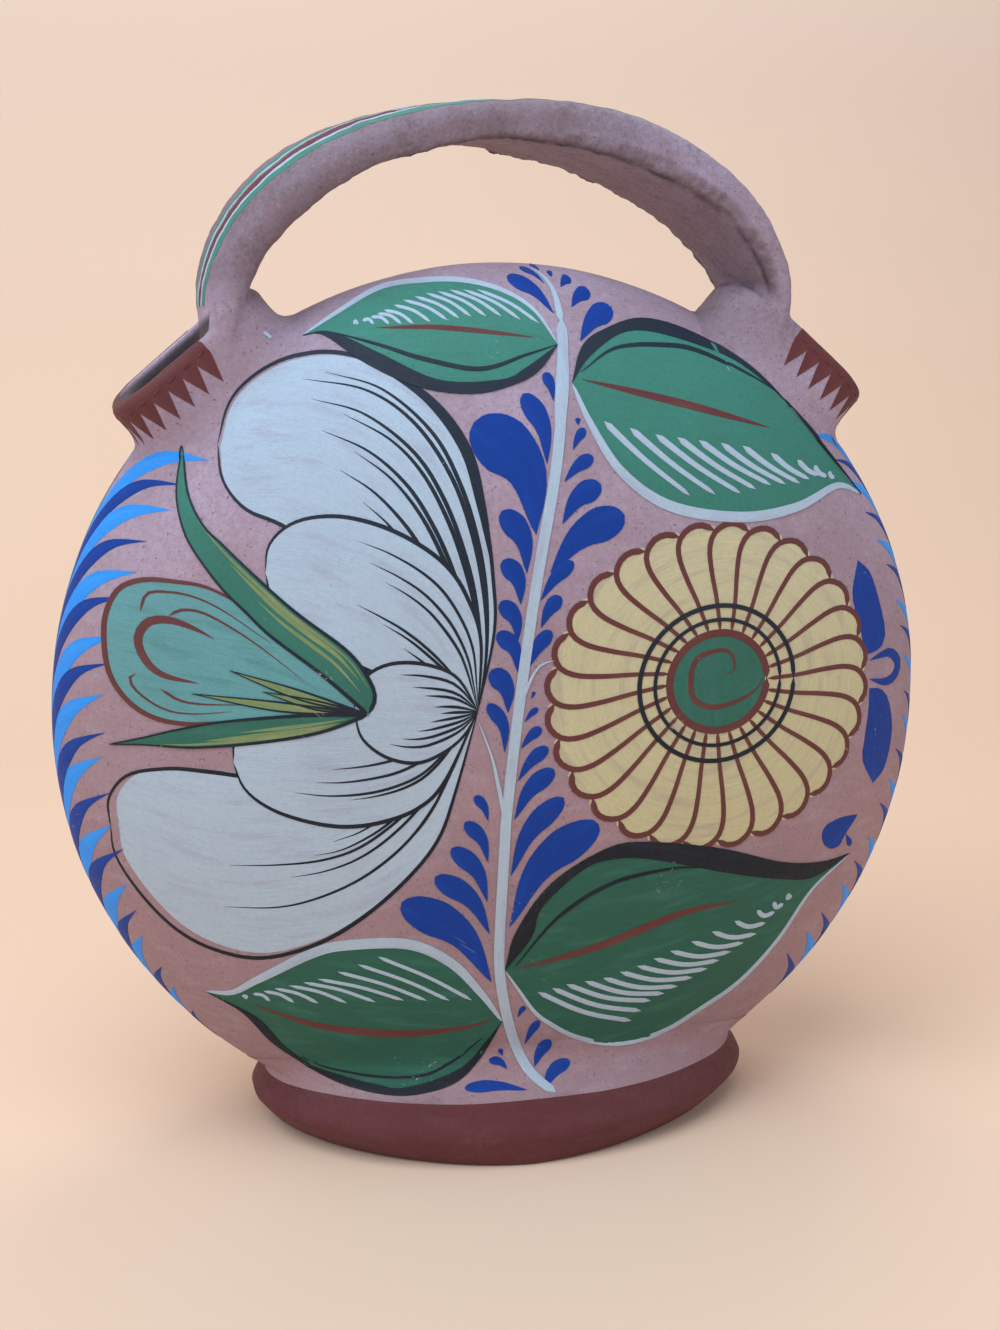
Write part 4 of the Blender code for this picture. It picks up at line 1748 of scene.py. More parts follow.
@dataclass
class Lobe:
    """One lobe of the white flower: a fill between two edges, an outline and veins."""

    depth: str
    upper: list[Point]
    lower: list[Point]
    vein_starts: list[Point]
    outline: float = 1.3
    vein: float = 0.9
    fill: float = 1.0

    def drawn_in(self, edge: list[Point]) -> list[Point]:
        """An edge of the white, a little inside the black outline."""
        end = np.array(edge[-1], float)
        return [tuple(end + (np.array(point) - end) * self.fill) for point in edge]

    def paint(self, layers: "Layers", face: Surface) -> None:
        """Paints the lobe, its outline and its veins.

        Args:
            layers: the paints.
            face: turns places into points over the clay.
        """
        white: PaintLayer = getattr(layers, f"petals_{self.depth}")
        white.panel(self.drawn_in(self.upper), self.drawn_in(self.lower), face, 26)
        lines: PaintLayer = getattr(layers, f"lines_{self.depth}")
        lines.stroke(self.upper, self.outline, face, Brush.PAD)
        lines.stroke(self.lower, self.outline, face, Brush.PAD)
        upper, lower = smooth_line(self.upper, 81), smooth_line(self.lower, 81)
        share = np.linspace(0.04, 0.96, 24)
        web = upper[:, None] + (lower - upper)[:, None] * share[None, :, None]
        for start in self.vein_starts:
            gap = np.linalg.norm(web - np.array(start, float), axis=2)
            row, column = np.unravel_index(np.argmin(gap), gap.shape)
            steps = np.linspace(row, 80, 8).round().astype(int)
            vein = [tuple(point) for point in web[steps, column]]
            lines.stroke(vein, self.vein, face, Brush.LEAF, 3)


class Layers:
    """All paint layers of one face, from the lowest to the highest."""

    heights: dict[str, tuple[str, float]] = {
        "light_blue": ("light_blue", 0.10),
        "dark_blue": ("dark_blue", 0.16),
        "petals_low": ("white", 0.10),
        "lines_low": ("black", 0.14),
        "petals_mid": ("white", 0.18),
        "lines_mid": ("black", 0.22),
        "petals_top": ("white", 0.26),
        "lines_top": ("black", 0.30),
        "teal": ("teal", 0.20),
        "bud_lines": ("maroon", 0.26),
        "blades": ("green", 0.33),
        "olive": ("olive", 0.37),
        "blade_lines": ("black", 0.41),
        "yellow": ("yellow", 0.10),
        "green": ("green", 0.16),
        "black": ("black", 0.33),
        "maroon": ("maroon", 0.22),
        "white": ("white", 0.28),
    }

    def __init__(self, palette: Palette, where: str) -> None:
        """Starts each layer empty.

        Args:
            palette: the finishes.
            where: the face's name, which starts each layer's name.
        """
        for name, (paint, height) in self.heights.items():
            slot = "green_paint" if paint == "olive" else f"{paint}_paint"
            finish = getattr(palette, paint)
            setattr(self, name, PaintLayer(f"{where}_{name}", slot, finish, height * MM))

    def build(self) -> None:
        """Makes a piece of every layer that holds a mark."""
        for layer in vars(self).values():
            if layer.marks:
                layer.build()


class WhiteFlower:
    """The large white flower on the left, seen from its side, with five lobes."""

    lobes: list[Lobe] = [
        Lobe(
            "low",
            [(-89, 226), (-85, 238), (-77, 246), (-66, 251), (-53, 252), (-38, 247), (-26, 236),
             (-19, 223), (-14, 205), (-12, 187), (-12, 172), (-17, 149)],
            [(-89, 226), (-88, 216), (-82, 208), (-71, 203), (-50, 190), (-30, 168), (-17, 149)],
            [(-63, 244), (-57, 246), (-61, 239), (-53, 234), (-60, 230), (-50, 224), (-55, 218),
             (-48, 210), (-40, 200)],
            vein=1.3,
            fill=0.99,
        ),
        Lobe(
            "low",
            [(-125, 112), (-125, 121), (-119, 129), (-108, 132), (-98, 132), (-82, 130),
             (-60, 124), (-36, 136), (-17, 149)],
            [(-125, 112), (-124, 102), (-117, 90), (-107, 79), (-96, 73), (-82, 71), (-66, 76),
             (-52, 85), (-38, 98), (-29, 110), (-24, 124), (-17, 149)],
            [(-55, 115), (-60, 110), (-66, 105), (-72, 100), (-90, 102), (-93, 89), (-46, 103),
             (-40, 108)],
            fill=0.975,
        ),
        Lobe(
            "mid",
            [(-77, 190), (-76, 197), (-72, 202), (-66, 205), (-58, 206), (-50, 205), (-41, 202),
             (-32, 197), (-25, 191), (-20, 183), (-16, 170), (-17, 149)],
            [(-77, 190), (-74, 180), (-60, 168), (-40, 158), (-17, 149)],
            [(-51, 199), (-48, 193), (-43, 188), (-51, 181), (-45, 175), (-39, 168), (-33, 163)],
        ),
        Lobe(
            "mid",
            [(-88, 135), (-86, 142), (-70, 148), (-45, 150), (-17, 149)],
            [(-88, 135), (-85, 127), (-78, 121), (-68, 117), (-57, 115), (-46, 116), (-35, 120),
             (-27, 128), (-17, 149)],
            [(-45, 135), (-50, 133), (-60, 132), (-65, 129), (-71, 126), (-55, 123)],
        ),
        Lobe(
            "top",
            [(-53, 150), (-52, 157), (-47, 162), (-40, 164), (-31, 163), (-23, 159), (-17, 149)],
            [(-53, 150), (-51, 142), (-44, 136), (-35, 134), (-27, 137), (-21, 142), (-17, 149)],
            [(-40, 160), (-36, 157), (-33, 154), (-30, 151), (-28, 149), (-31, 146), (-35, 144),
             (-39, 142), (-43, 140)],
            outline=1.1,
        ),
    ]

    heavy_edge: list[Point] = [(-45, 250), (-29, 239), (-19, 225), (-15, 209), (-12, 190)]

    def paint(self, layers: Layers, face: Surface) -> None:
        """Paints the lobes.

        Args:
            layers: the paints.
            face: turns places into points over the clay.
        """
        for lobe in self.lobes:
            lobe.paint(layers, face)
        layers.lines_low.stroke(self.heavy_edge, 3.4, face, Brush.LEAF)


class Bud:
    """The pale teal bud behind the white flower, with its dark and light green blades."""

    upper: list[Point] = [(-124, 169), (-123, 177), (-119, 184), (-112, 187), (-103, 187),
                          (-92, 185), (-76, 176), (-62, 164), (-49, 149)]
    lower: list[Point] = [(-124, 169), (-123, 160), (-119, 153), (-112, 148), (-102, 146),
                          (-88, 147), (-70, 149), (-49, 149)]
    hook: list[Point] = [(-92, 171), (-98, 174), (-105, 176), (-111, 175), (-114, 170),
                         (-112, 164), (-107, 160), (-97, 158)]
    threads: list[list[Point]] = [
        [(-113, 178), (-111, 183), (-106, 184), (-98, 183), (-89, 179), (-76, 170)],
        [(-105, 177), (-101, 179), (-94, 178), (-82, 171), (-68, 160)],
        [(-115, 160), (-117, 158), (-114, 154), (-107, 150), (-99, 149), (-88, 150)],
        [(-108, 156), (-103, 153), (-97, 152), (-84, 152)],
    ]
    blade_left: list[Point] = [(-99, 225), (-101, 215), (-101, 208), (-99, 200), (-95, 193),
                               (-89, 185), (-83, 179), (-76, 172), (-62, 161), (-49, 149)]
    blade_right: list[Point] = [(-99, 225), (-98, 212), (-94, 203), (-89, 198), (-82, 191),
                                (-69, 179), (-55, 168), (-49, 160), (-47, 154), (-49, 149)]
    low_top: list[Point] = [(-124, 138), (-114, 141), (-104, 144), (-90, 147), (-68, 149),
                            (-49, 149)]
    low_bottom: list[Point] = [(-124, 138), (-113, 139), (-99, 139), (-80, 141), (-63, 144),
                               (-49, 149)]

    def paint(self, layers: Layers, face: Surface) -> None:
        """Paints the bud and its blades.

        Args:
            layers: the paints.
            face: turns places into points over the clay.
        """
        layers.teal.panel(self.upper, self.lower, face, 20)
        layers.bud_lines.stroke(self.upper[::-1][2:] + self.lower[1:-1], 1.7, face, Brush.LEAF)
        layers.bud_lines.stroke(self.hook, 2.6, face, Brush.LEAF)
        for thread in self.threads:
            layers.bud_lines.stroke(thread, 0.9, face, Brush.TAIL, 3)
        tip = self.low_top[-1]
        for start in [(-99, 155), (-88, 162), (-79, 156)]:
            layers.olive.panel(bow(start, tip, 0.8), bow(start, tip, -1.6), face, 4)
            for bend in (0.9, -1.7):
                layers.blade_lines.stroke(bow(start, tip, bend), 0.8, face, Brush.VEIN, 3)
        for one, other in [(self.blade_left, self.blade_right), (self.low_top, self.low_bottom)]:
            layers.blades.panel(one, other, face, 8)
            left, right = smooth_line(one, 60), smooth_line(other, 60)
            for share, width, first in [(0.72, 1.6, 22), (0.5, 1.1, 30), (0.85, 1.0, 12)]:
                hair = left + (right - left) * share
                line = [tuple(point) for point in hair[first:57:6]]
                layers.olive.stroke(line, width, face, Brush.LEAF, 3)
            layers.blade_lines.stroke(one, 1.2, face, Brush.VEIN)
            layers.blade_lines.stroke(other, 1.2, face, Brush.VEIN)


@dataclass
class ScallopFlower:
    """A round flower of overlapping scalloped petals round a green eye."""

    centre: Point
    half_width: float
    half_height: float
    petals: int = 28
    eye_up: float = 0.0
    spiral: tuple[Point, ...] = (
        (0.05, 60), (0.09, 25), (0.14, 50), (0.185, 80), (0.195, 137), (0.18, 207), (0.165, 255),
        (0.175, 310), (0.235, 343), (0.285, 365),
    )

    def at(self, share: float, angle: float) -> Point:
        """A place on the flower.

        Args:
            share: 0 at the middle and 1 at the petals' ends.
            angle: how far round, in radians.

        Returns:
            The place in millimetres.
        """
        x = self.centre[0] + self.half_width * share * math.cos(angle)
        up = self.eye_up * (1.0 - share)
        return x, self.centre[1] + up + self.half_height * share * math.sin(angle)

    def ring(self, share: float) -> list[Point]:
        """A closed ring round the flower's middle."""
        return [self.at(share, 2 * math.pi * step / 36) for step in range(37)]

    def paint(self, layers: Layers, face: Surface) -> None:
        """Paints the petals, the rings, the eye and its spiral.

        Args:
            layers: the paints.
            face: turns places into points over the clay.
        """
        step = 2 * math.pi / self.petals
        around = self.petals * 8
        angle = np.linspace(0.0, 2 * math.pi, around + 1)
        part = np.mod(angle / step, 1.0)
        edge = 0.94 + 0.055 * np.sqrt(1.0 - (2 * part - 1) ** 2)
        share = np.linspace(0.0, 1.0, 20)[:, None] * (edge - 0.28)[None] + 0.28
        x = self.centre[0] + self.half_width * share * np.cos(angle)[None]
        z = self.centre[1] + self.eye_up * (1.0 - share)
        z = z + self.half_height * share * np.sin(angle)[None]
        uv = np.stack([share * angle[None], share], axis=-1) * self.half_height
        layers.yellow.lay(np.stack([x, z], axis=-1) * MM, uv * MM, face)
        for petal in range(self.petals):
            turn = petal * step
            line = [(0.30, -0.05), (0.5, 0.16), (0.68, 0.3), (0.83, 0.3), (0.93, 0.12),
                    (0.985, -0.25), (0.985, -0.6), (0.945, -0.9)]
            layers.maroon.stroke(
                [self.at(share, turn + part * step) for share, part in line][::-1],
                1.9, face, Brush.RIB,
            )
        halves = (
            [self.at(0.285, math.pi * (0.5 + turn)) for turn in np.linspace(0, end, 13)]
            for end in (1, -1)
        )
        layers.green.panel(*halves, face, 14)
        layers.maroon.stroke(self.ring(0.295), 2.3, face)
        layers.black.stroke(self.ring(0.38), 1.1, face)
        layers.black.stroke(self.ring(0.47), 1.4, face)
        spiral = [self.at(share, math.radians(degrees)) for share, degrees in self.spiral]
        layers.maroon.stroke(spiral, 1.8, face, Brush.LEAF)


class FrontStem:
    """The white stem up the middle of the front, with its four leaves and blue sprays."""

    stem: list[Point] = [(13, 12), (5, 21), (0, 29), (-5, 42), (-9, 60), (-10, 76), (-9, 106),
                         (-8, 121), (-4, 155), (1, 187), (8, 221), (12, 250), (13, 262)]
    twigs: list[tuple[list[Point], float]] = [
        ([(13, 260), (12, 271), (8, 277)], 2.4),
        ([(-9, 116), (-11, 126), (-13, 135), (-17, 146)], 1.5),
        ([(-5, 149), (-1, 158), (2, 162), (6, 163)], 1.5),
    ]
    leaves: list[Leaf] = [
        Leaf(
            light=[(-63, 257), (-52, 264), (-39, 271), (-27, 273), (-15, 273), (-4, 270),
                   (5, 264), (11, 254)],
            dark=[(-63, 257), (-57, 257), (-46, 249), (-31, 242), (-15, 240), (-2, 243),
                  (5, 247), (11, 254)],
            inner=[(-63, 257), (-55, 258), (-42, 252), (-25, 244), (-7, 244), (0, 247),
                   (11, 254)],
            thin=[(-55, 258), (-41, 254), (-29, 250), (-13, 247), (1, 251), (11, 254)],
            rib=[(-42, 259), (-24, 259), (4, 256)],
            hatch_from=[(-48, 260), (-43, 262), (-39, 264), (-33, 267), (-26, 269), (-19, 270),
                        (-11, 270)],
            hatch_to=[(-47, 260), (-38, 260), (-31, 260), (-21, 261), (-14, 262), (-5, 262),
                      (6, 260)],
            hatches=13,
            light_width=1.6,
            hatch_width=0.95,
            rib_width=1.5,
        ),
        Leaf(
            light=[(14, 243), (19, 231), (28, 217), (43, 207), (66, 203), (86, 205), (101, 210),
                   (108, 210), (115, 207)],
            dark=[(14, 243), (18, 253), (25, 258), (40, 262), (59, 257), (79, 245), (99, 223),
                  (115, 207)],
            inner=[(14, 243), (21, 251), (34, 258), (51, 256), (72, 248), (92, 232), (101, 222),
                   (115, 207)],
            thin=[(17, 246), (29, 253), (46, 254), (58, 252), (76, 244), (83, 240)],
            rib=[(17, 244), (48, 237), (79, 229)],
            hatch_from=[(23, 232), (39, 228), (53, 226), (68, 224), (88, 219), (101, 215)],
            hatch_to=[(49, 210), (66, 210), (77, 212), (88, 212), (96, 214), (103, 213)],
            hatches=11,
            rib_width=2.3,
            bend=-0.8,
            light_width=3.2,
            hatch_width=2.0,
            hatch_brush=Brush.RIB,
        ),
        Leaf(
            light=[(-8, 65), (-3, 57), (2, 49), (7, 44), (17, 37), (32, 32), (48, 34), (61, 41),
                   (74, 49), (86, 62), (97, 79), (112, 89)],
            dark=[(-8, 65), (-5, 78), (5, 93), (21, 103), (34, 105), (61, 100), (84, 92),
                  (100, 89), (112, 89)],
            inner=[(-8, 65), (0, 76), (3, 86), (15, 97), (24, 100), (37, 99), (65, 91), (84, 86),
                   (97, 84), (112, 89)],
            thin=[(-5, 66), (8, 82), (25, 92), (44, 95), (57, 94)],
            rib=[(-5, 65), (23, 71), (48, 79), (69, 81)],
            hatch_from=[(3, 56), (12, 58), (24, 59), (35, 62), (46, 66), (60, 71), (76, 76),
                        (88, 80)],
            hatch_to=[(35, 41), (41, 48), (50, 52), (60, 57), (68, 62), (77, 67), (83, 74),
                      (89, 79)],
            hatches=15,
            bend=-1.7,
            light_width=1.9,
            hatch_width=1.6,
        ),
        Leaf(
            light=[(-99, 56), (-91, 57), (-83, 63), (-67, 73), (-56, 76), (-38, 76), (-25, 69),
                   (-15, 57), (-8, 46)],
            dark=[(-99, 56), (-88, 49), (-79, 37), (-67, 27), (-56, 19), (-44, 15), (-34, 15),
                  (-21, 21), (-13, 34), (-8, 46)],
            inner=[(-99, 56), (-84, 48), (-75, 36), (-67, 29), (-56, 24), (-45, 20), (-37, 19),
                   (-21, 27), (-13, 38), (-8, 46)],
            thin=[(-70, 32), (-61, 28), (-46, 24.5), (-32, 25), (-23, 31), (-14, 40)],
            rib=[(-85, 53), (-64, 46), (-39, 43), (-18, 45), (-10, 48)],
            hatch_from=[(-88, 56), (-78, 60), (-65, 64), (-47, 72)],
            hatch_to=[(-87, 55), (-65, 55), (-39, 56), (-18, 55)],
            hatches=10,
            light_width=3.4,
            hatch_width=1.1,
        ),
    ]
    # Head, tip, width and bend of each comma, up the stem, at its top, at the foot, at the side
    commas: list[tuple[Point, Point, float, float]] = [
        ((-16, 232), (1, 200), 17, 6.5), ((-1, 240), (5, 220), 6.5, 2.4),
        ((6, 246), (8, 238), 3.4, 0.6), ((-9, 207), (-2, 189), 7.4, 2.8),
        ((-9, 193), (-4, 180), 6, 2), ((-10, 181), (-5, 169), 5.4, 2),
        ((-11, 172), (-5, 160), 5.4, 2.2), ((-13, 161), (-8, 148), 6.4, 2.2),
        ((-14, 151), (-9, 136), 4.4, 2.2), ((-18, 123), (-14, 115), 3.2, 0.9),
        ((-21, 115), (-14, 102), 4.6, 1.8), ((-25, 107), (-14, 89), 6, 2.6),
        ((-30, 98), (-13, 78), 7, 3.2), ((-40, 90), (-12, 61), 12, 5),
        ((15, 233), (15, 231), 1.7, 0), ((17, 230), (13, 224), 2.9, -0.4),
        ((19, 222), (10, 215), 4.2, -0.8), ((21, 214), (9, 203), 6.8, -2),
        ((28, 205), (5, 189), 10.4, -3.2), ((12, 192), (2, 181), 4.6, -1),
        ((8, 182), (2, 173), 4.6, -0.8), ((5, 172), (-2, 161), 4.6, -0.8),
        ((0, 154), (-1, 152), 1.1, 0), ((1, 149), (-3, 145), 2, -0.3),
        ((2, 143), (-4, 137), 3.4, -0.5), ((4, 137), (-5, 127), 4.4, -1),
        ((6, 130), (-6, 115), 6, -2), ((9, 121), (-7, 97), 7.2, -3),
        ((20, 112), (-7, 80), 12, -5.5), ((8, 278), (10, 276), 1.5, 0.4),
        ((4, 277), (10, 272), 1.9, 0.8), ((-1, 274), (11, 263), 4.8, 1.8),
        ((13, 276), (13, 274), 1.8, 0), ((19, 274), (15, 271), 3.0, -0.4),
        ((24, 270), (17, 265), 4.4, -0.9), ((30, 265), (18, 255), 6.6, -1.6),
        ((-1, 51), (-3, 47), 1.9, -0.2), ((4, 45), (0, 36), 3, -0.4),
        ((8, 37), (4, 26), 4.6, -0.8), ((15, 28), (9, 15), 6.6, -1.6),
        ((-8, 35), (-7, 32), 1.6, 0), ((-11, 31), (-5, 26), 3.6, 0.8),
        ((-18, 18), (3, 15), 6.2, 1.6), ((100, 95), (113, 103), 11, 1),
        ((112, 92), (109, 97), 2.2, 0),
    ]
    side_pads: list[tuple[list[Point], list[Point]]] = [
        ([(110, 187), (107, 177), (109, 169), (111, 162), (111, 157)],
         [(110, 187), (115, 183), (118, 176), (121, 166), (121, 161), (118, 158), (111, 157)]),
        ([(114, 146), (114, 139), (113, 129), (113, 122), (119, 113)],
         [(114, 146), (119, 145), (123, 141), (126, 132), (126, 125), (124, 117), (119, 113)]),
    ]
    knot: list[Point] = [(114, 155), (119, 156), (124, 156), (128, 152), (126, 148), (121, 147),
                         (114, 149)]
    stray: list[Point] = [(-74, 258), (-72, 256)]

    def paint(self, layers: Layers, face: Surface) -> None:
        """Paints the stem, its leaves and sprays.

        Args:
            layers: the paints.
            face: turns places into points over the body.
        """
        layers.white.stroke(self.stem, 3.2, face, Brush.LINE)
        layers.white.stroke(self.stem[-3:], 4.0, face, Brush.LEAF)
        layers.white.stroke(self.stray, 0.9, face, Brush.LINE)
        for twig, width in self.twigs:
            layers.white.stroke(twig, width, face, Brush.TAIL)
        for leaf in self.leaves:
            leaf.paint(layers, face)
        for head, tip, width, bend in self.commas:
            mark = bow(head, tip, bend)
            layers.dark_blue.stroke(mark, width, face, Brush.COMMA, 6)
        for one, other in self.side_pads:
            layers.dark_blue.panel(one, other, face, 8)
        layers.dark_blue.stroke(self.knot, 3.4, face, Brush.LEAF)


@dataclass
class RimTeeth:
    """Curved blue teeth that sweep up from the rim, light and dark by turns.

    Along runs down the rim from a tooth's tip, away runs from the rim towards the face.
    """

    surface: Callable[[int], Surface]
    pitch: float = 11.1
    first_tip: float = 342.0
    teeth: int = 20
    upper: tuple[Point, ...] = ((40, 1), (29, 5), (20, 9.5), (13, 14), (8, 19), (4.5, 25), (0, 35))
    broad: tuple[float, ...] = (1.1, 1.15, 1.15, 1.0, 0.75, 0.4, 0.0)
    slim: tuple[float, ...] = (1.1, 1.1, 1.0, 0.85, 0.6, 0.25, 0.0)

    def edges(self, tooth: int, size: float) -> tuple[list[Point], list[Point]]:
        """The upper and the lower edge of one tooth.

        Args:
            tooth: its number from the top.
            size: how far it reaches from the rim, 1 for the full 35 mm.

        Returns:
            Both edges, from the rim to the tip.
        """
        sweep = 1.0 - 0.62 * tooth / (self.teeth - 1)
        tip = self.first_tip + tooth * self.pitch + 1.3 * math.sin(2.3 * tooth)
        reach = size * (1.0 - 0.06 * math.sin(1.7 * tooth) ** 2)
        upper = [(tip + x * sweep, 1 + (y - 1) * reach) for x, y in self.upper]
        widths = self.slim if tooth % 2 else self.broad
        lower = [(x + wide * self.pitch, y) for (x, y), wide in zip(upper, widths)]
        return upper, lower

    def paint(self, layers: Layers, sizes: tuple[float, float]) -> None:
        """Paints the teeth along both ends of one face, and the white rim line.

        Args:
            layers: the paints.
            sizes: how long the teeth are on the left end and on the right end.
        """
        for mirror, size in zip((1, -1), sizes):
            face = self.surface(mirror)
            for tooth in range(self.teeth):
                layer = layers.dark_blue if tooth % 2 else layers.light_blue
                low = max(0, tooth - 13) * -0.09 if mirror > 0 else max(0, tooth - 9) * 0.04
                layer.panel(*self.edges(tooth, size + low), face, 6)
            line = [(self.first_tip + 12 + 3 * step, 0.0) for step in range(74)]
            layers.white.stroke(line, 1.8, face, Brush.LINE)


@dataclass
class LipBand:
    """The maroon band round a lip, with saw teeth that hang from it."""

    neck: NeckForm
    clay: Clay
    half_run: float = 0.050
    band: float = 0.0042
    teeth: int = 18
    tooth_length: float = 0.0088
    overlap: float = 0.0006

    def paint(self, layer: PaintLayer) -> None:
        """Paints the band and its teeth.

        Args:
            layer: the maroon paint.
        """

        def wrap(places: Array, lift: float) -> Array:
            """Presses the mark onto the spout."""
            return self.clay.nearest(self.neck.wrap(places), lift)

        around = np.linspace(-self.half_run, self.half_run, 120)
        down = np.linspace(-self.neck.wall * 0.55, self.band, 12)
        flat = np.stack(np.meshgrid(down, around, indexing="xy")[::-1], axis=-1)
        layer.lay(flat, flat, wrap)
        pitch = 2 * self.half_run / self.teeth
        for tooth in range(self.teeth):
            middle = -self.half_run + (tooth + 0.5) * pitch
            tip = (middle / MM, (self.band + self.tooth_length) / MM)
            left, right = (
                ((middle + half) / MM, (self.band - self.overlap) / MM)
                for half in (-pitch * 0.52, pitch * 0.52)
            )
            top = (middle / MM, (self.band - 0.001) / MM)
            layer.panel([top, left, tip], [top, right, tip], wrap, 6)


@dataclass
class HandleStripes:
    """Long stripes along the strap's outer face."""

    handle: HandleForm
    clay: Clay

    def stripe(self, layer: PaintLayer, across: float, width: float) -> None:
        """Paints one stripe from mouth to mouth.

        Args:
            layer: the paint.
            across: its place across the strap, in metres towards the back.
            width: its width in metres.
        """
        share = np.broadcast_to(np.linspace(-1.0, 1.0, 150)[:, None], (150, 4))
        rows = across + 0.0004 * np.sin(share * 9.0 + across * 400)
        rows = rows + width * np.linspace(-0.5, 0.5, 4)[None]

        def strap(places: Array, lift: float) -> Array:
            """Presses the stripe onto the strap."""
            return self.clay.nearest(self.handle.crown_point(places), lift)

        layer.lay(np.stack([share, rows], -1), np.stack([share * 0.16, rows], -1), strap)

    def paint(self, palette: Palette) -> None:
        """Paints the five stripes as three layers.

        Args:
            palette: the finishes.
        """
        green = PaintLayer("handle_green", "green_paint", palette.green, 0.0001)
        white = PaintLayer("handle_white", "white_paint", palette.white, 0.00016)
        maroon = PaintLayer("handle_maroon", "maroon_paint", palette.maroon, 0.0001)
        for across in (-0.0114, 0.0022):
            self.stripe(green, across, 0.0032)
        for across in (-0.0085, -0.0007):
            self.stripe(white, across, 0.0017)
        self.stripe(maroon, -0.0046, 0.004)
        for layer in (green, white, maroon):
            layer.build()


class BackPainting:
    """The unseen back: the front's stem, leaves and sprays between two round flowers."""

    flowers: list[ScallopFlower] = [
        ScallopFlower((58, 151), 55, 51, eye_up=4.0),
        ScallopFlower((-65, 160), 47, 45, petals=24),
    ]

    def paint(self, layers: Layers, face: Surface) -> None:
        """Paints the back.

        Args:
            layers: the paints.
            face: turns places into points over the back.
        """
        for flower in self.flowers:
            flower.paint(layers, face)
        FrontStem().paint(layers, face)


class Stage:
    """The floor, the sweep behind it, the lights and the camera."""

    floor_colour: Colour = (0.84, 0.60, 0.44)
    cloud_colour: Colour = (0.86, 0.62, 0.46)
    wall_colour: Colour = (0.86, 0.68, 0.56)
    air_tint: Colour = (0.74, 0.87, 1.0)
    air_level: float = 0.42
    aim: Place = (0.0, 0.0, 0.15)
    # Name, place, size in metres, power in watts and colour of each lamp
    lamps: list[tuple[str, Place, float, float, Colour]] = [
        ("overhead", (-0.4, -0.45, 1.45), 1.2, 16.0, (0.82, 0.91, 1.0)),
        ("left_window", (-1.5, -0.8, 0.85), 0.9, 10.0, (0.75, 0.87, 1.0)),
        ("right_fill", (1.4, -1.0, 0.6), 1.2, 6.5, (0.9, 0.93, 1.0)),
        ("back_fill", (0.3, 0.75, 1.4), 0.8, 5.0, (1.0, 0.98, 0.95)),
    ]
    lens: float = 40.7
    camera_place: Place = (-0.0925, -0.4759, 0.2534)
    camera_turn: float = math.radians(-11.0)
    camera_pitch: float = 0.2083

    def build(self) -> None:
        """Makes everything that isn't the vase."""
        self.make_sweep()
        self.make_lights()
        self.make_camera()

    def make_sweep(self) -> None:
        """Makes the pale floor that curves up into a backdrop."""
        bpy.ops.object.select_all(action="DESELECT")
        turn = np.linspace(0.0, math.pi / 2, 13)
        depth = [-1.5, 0.5, *(0.5 + 0.5 * np.sin(turn)), 1.0]
        height = [0.0, 0.0, *(0.5 - 0.5 * np.cos(turn)), 2.6]
        across = np.linspace(-2.5, 2.5, 5)
        points = np.array([[(x, y, z) for x in across] for y, z in zip(depth, height)])
        floor = new_sheet("studio_sweep", points)
        shade(floor, 60.0)
        material, board, shader = new_material("sweep_paper", specular=0.2)
        shader.inputs["Roughness"].default_value = 0.85
        solid = board.node("ShaderNodeTexCoord").outputs["Object"]
        height = board.node("ShaderNodeSeparateXYZ", {"Vector": solid}).outputs["Z"]
        warm = board.coats(
            board.mix(
                board.ramp(board.noise(solid, 1.6, 2.0), 0.3, 0.7),
                rgba(self.floor_colour),
                rgba(self.cloud_colour),
            ),
            (board.ramp(height, 0.1, 0.7), self.wall_colour),
        )
        board.feed(shader, {"Base Color": warm})
        coat(floor, material)

    def make_lights(self) -> None:
        """Hangs four soft lamps in pale air, which the camera sees in the floor's colour."""
        world = bpy.data.worlds.new("studio_air")
        world.use_nodes = True
        bpy.context.scene.world = world
        board = Board(world.node_tree)
        air = world.node_tree.nodes["Background"]
        seen = board.node("ShaderNodeLightPath").outputs["Is Camera Ray"]
        tint = board.mix(seen, rgba(self.air_tint), rgba(self.floor_colour))
        level = board.ramp(seen, 0.0, 1.0, self.air_level, 1.0)
        board.feed(air, {"Color": tint, "Strength": level})
        for name, place, size, power, colour in self.lamps:
            data = bpy.data.lights.new(name, "AREA")
            data.size = size
            data.energy = power
            data.color = colour
            lamp = bpy.data.objects.new(name, data)
            bpy.context.scene.collection.objects.link(lamp)
            lamp.location = place
            away = Vector(place) - Vector(self.aim)
            lamp.rotation_euler = away.to_track_quat("Z", "Y").to_euler()

    def make_camera(self) -> None:
        """Sets the camera at the photograph's angle."""
        data = bpy.data.cameras.new("photo_camera")
        data.lens = self.lens
        data.clip_start = 0.01
        camera = bpy.data.objects.new("photo_camera", data)
        bpy.context.scene.collection.objects.link(camera)
        camera.location = self.camera_place
        camera.rotation_euler = (math.pi / 2 - self.camera_pitch, 0.0, self.camera_turn)
        bpy.context.scene.camera = camera
        bpy.context.scene.view_settings.view_transform = "Standard"


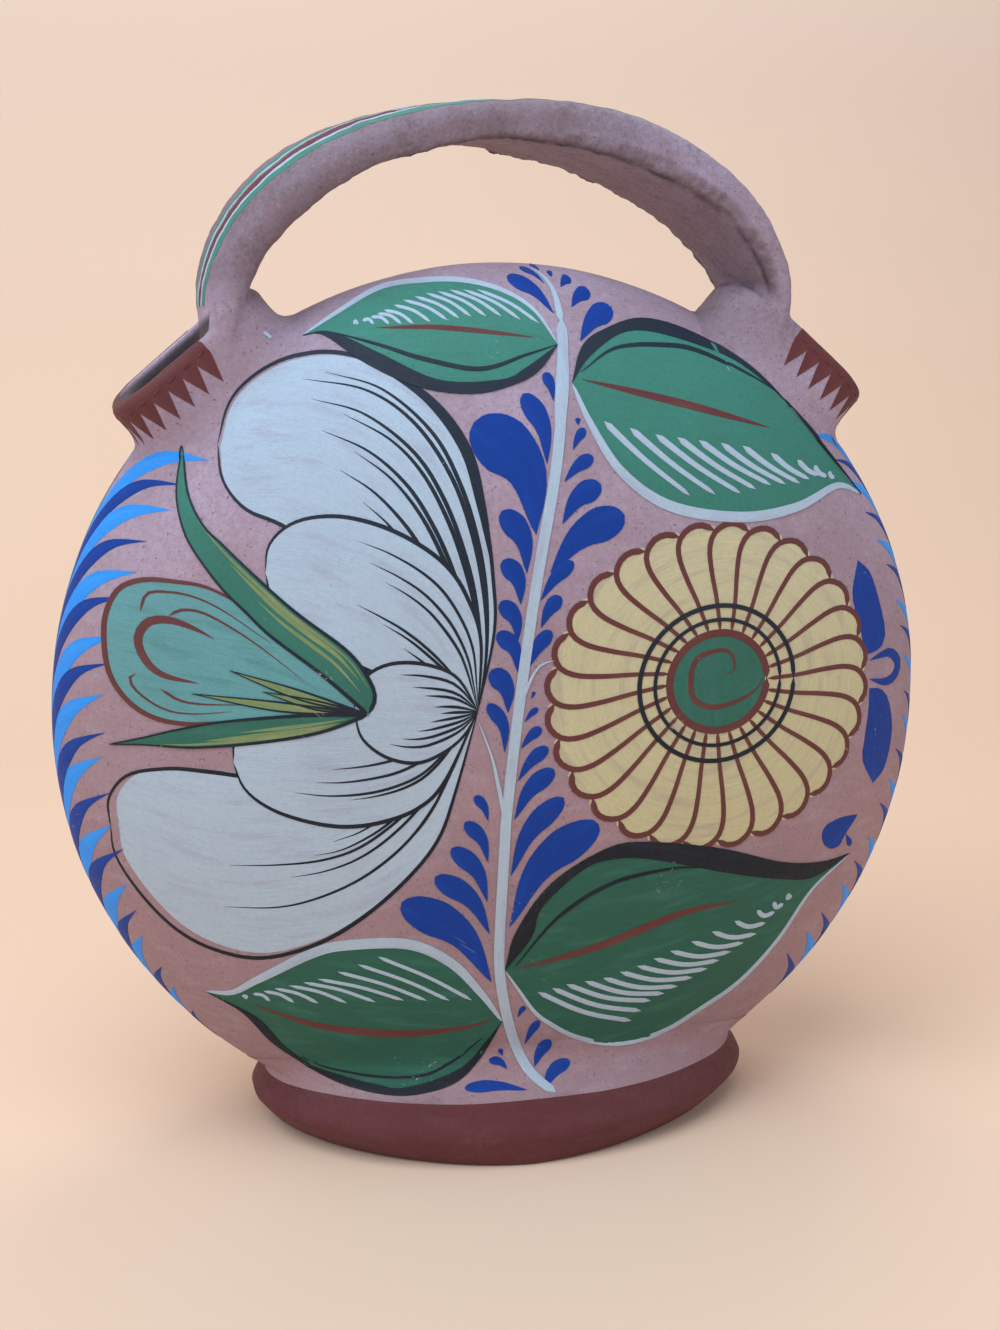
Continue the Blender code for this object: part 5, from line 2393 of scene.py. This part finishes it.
def dress_body(body: BodyForm, obj: Object, palette: Palette) -> None:
    """Darkens the body in places and gives it its finish: painted shade all over its inside, darker
    low near the foot, and dirt and painted shade round the spouts' feet.

    Args:
        body: the body's form.
        obj: the clay body.
        palette: the finishes.
    """
    points = mesh_vectors(obj)
    radius = np.hypot(points[:, 0], points[:, 2] - body.centre_z)
    # Inside the hollow body the clay is painted fully dark: painted shade.
    inside = (points[:, 1] / (body.half_depth - 0.003)) ** 2
    inside += (radius / (body.radius - 0.003)) ** body.rim_power
    # Low on the body, near the foot, it is painted darker.
    low = np.clip((0.05 - points[:, 2]) / 0.03, 0.0, 1.0)
    # Round the spouts' feet it takes dirt and painted shade.
    angle = np.arctan2(np.abs(points[:, 0]), points[:, 2] - body.centre_z)
    neck = np.exp(-(((angle - math.radians(40.0)) / 0.3) ** 2))
    neck *= np.clip((radius - 0.125) / 0.02, 0.0, 1.0)
    set_mask(obj, "dirt_and_shade", np.where(inside < 1.0, 1.0, 0.2 * low + 0.2 * neck))
    coat(obj, palette.pink)
    shade(obj)
    hand_over(
        obj, "pink_slip", "front_body_half", "back_body_half", "seam_roll_top",
        "seam_roll_left", "seam_roll_right",
    )


def main() -> None:
    """Builds the clay, the painting and the stage in order."""
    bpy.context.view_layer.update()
    palette = Palette(Effects())
    body = BodyForm()
    necks = [NeckForm(body, -1, tip_forward=0.0027), NeckForm(body, 1, slide=-0.0034)]
    handle = HandleForm(body, necks[1])
    bores = [neck.bore() for neck in necks]
    clay_body = body.build(bores)
    for bore in bores:
        bpy.data.objects.remove(bore)
    dress_body(body, clay_body, palette)

    shoulders = union_shoulders(body, necks, handle)
    coat(shoulders, palette.pink)
    shade(shoulders, 60.0)
    hand_over(shoulders, "pink_slip", "left_spout", "right_spout", "handle")

    foot = FootForm(body).build(palette.pink, palette.foot)
    shade(foot, 50.0)
    hand_over(foot, "maroon_slip", "foot_ring")
    coat(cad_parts["base_slab"], palette.bare)

    clay = Clay(shoulders, foot)
    front_ground = Ground(body, clay, -1, Vector(Stage.camera_place))
    back_ground = Ground(body, clay, 1, Vector(BACK_EYE))

    front = Layers(palette, "front")
    WhiteFlower().paint(front, front_ground.face)
    Bud().paint(front, front_ground.face)
    ScallopFlower((58, 151), 55, 51, eye_up=4.0).paint(front, front_ground.face)
    FrontStem().paint(front, front_ground.face)
    RimTeeth(front_ground.rim).paint(front, (1.0, 0.72))
    front.build()

    back = Layers(palette, "back")
    BackPainting().paint(back, back_ground.face)
    RimTeeth(back_ground.rim).paint(back, (0.9, 0.9))
    back.build()

    lips = PaintLayer("lip_maroon", "maroon_paint", palette.maroon, 0.00012)
    for neck in necks:
        LipBand(neck, clay).paint(lips)
    lips.build()
    HandleStripes(handle, clay).paint(palette)

    Stage().build()


if __name__ == "__main__":
    logging.basicConfig(level=logging.INFO, format="%(message)s")
    main()
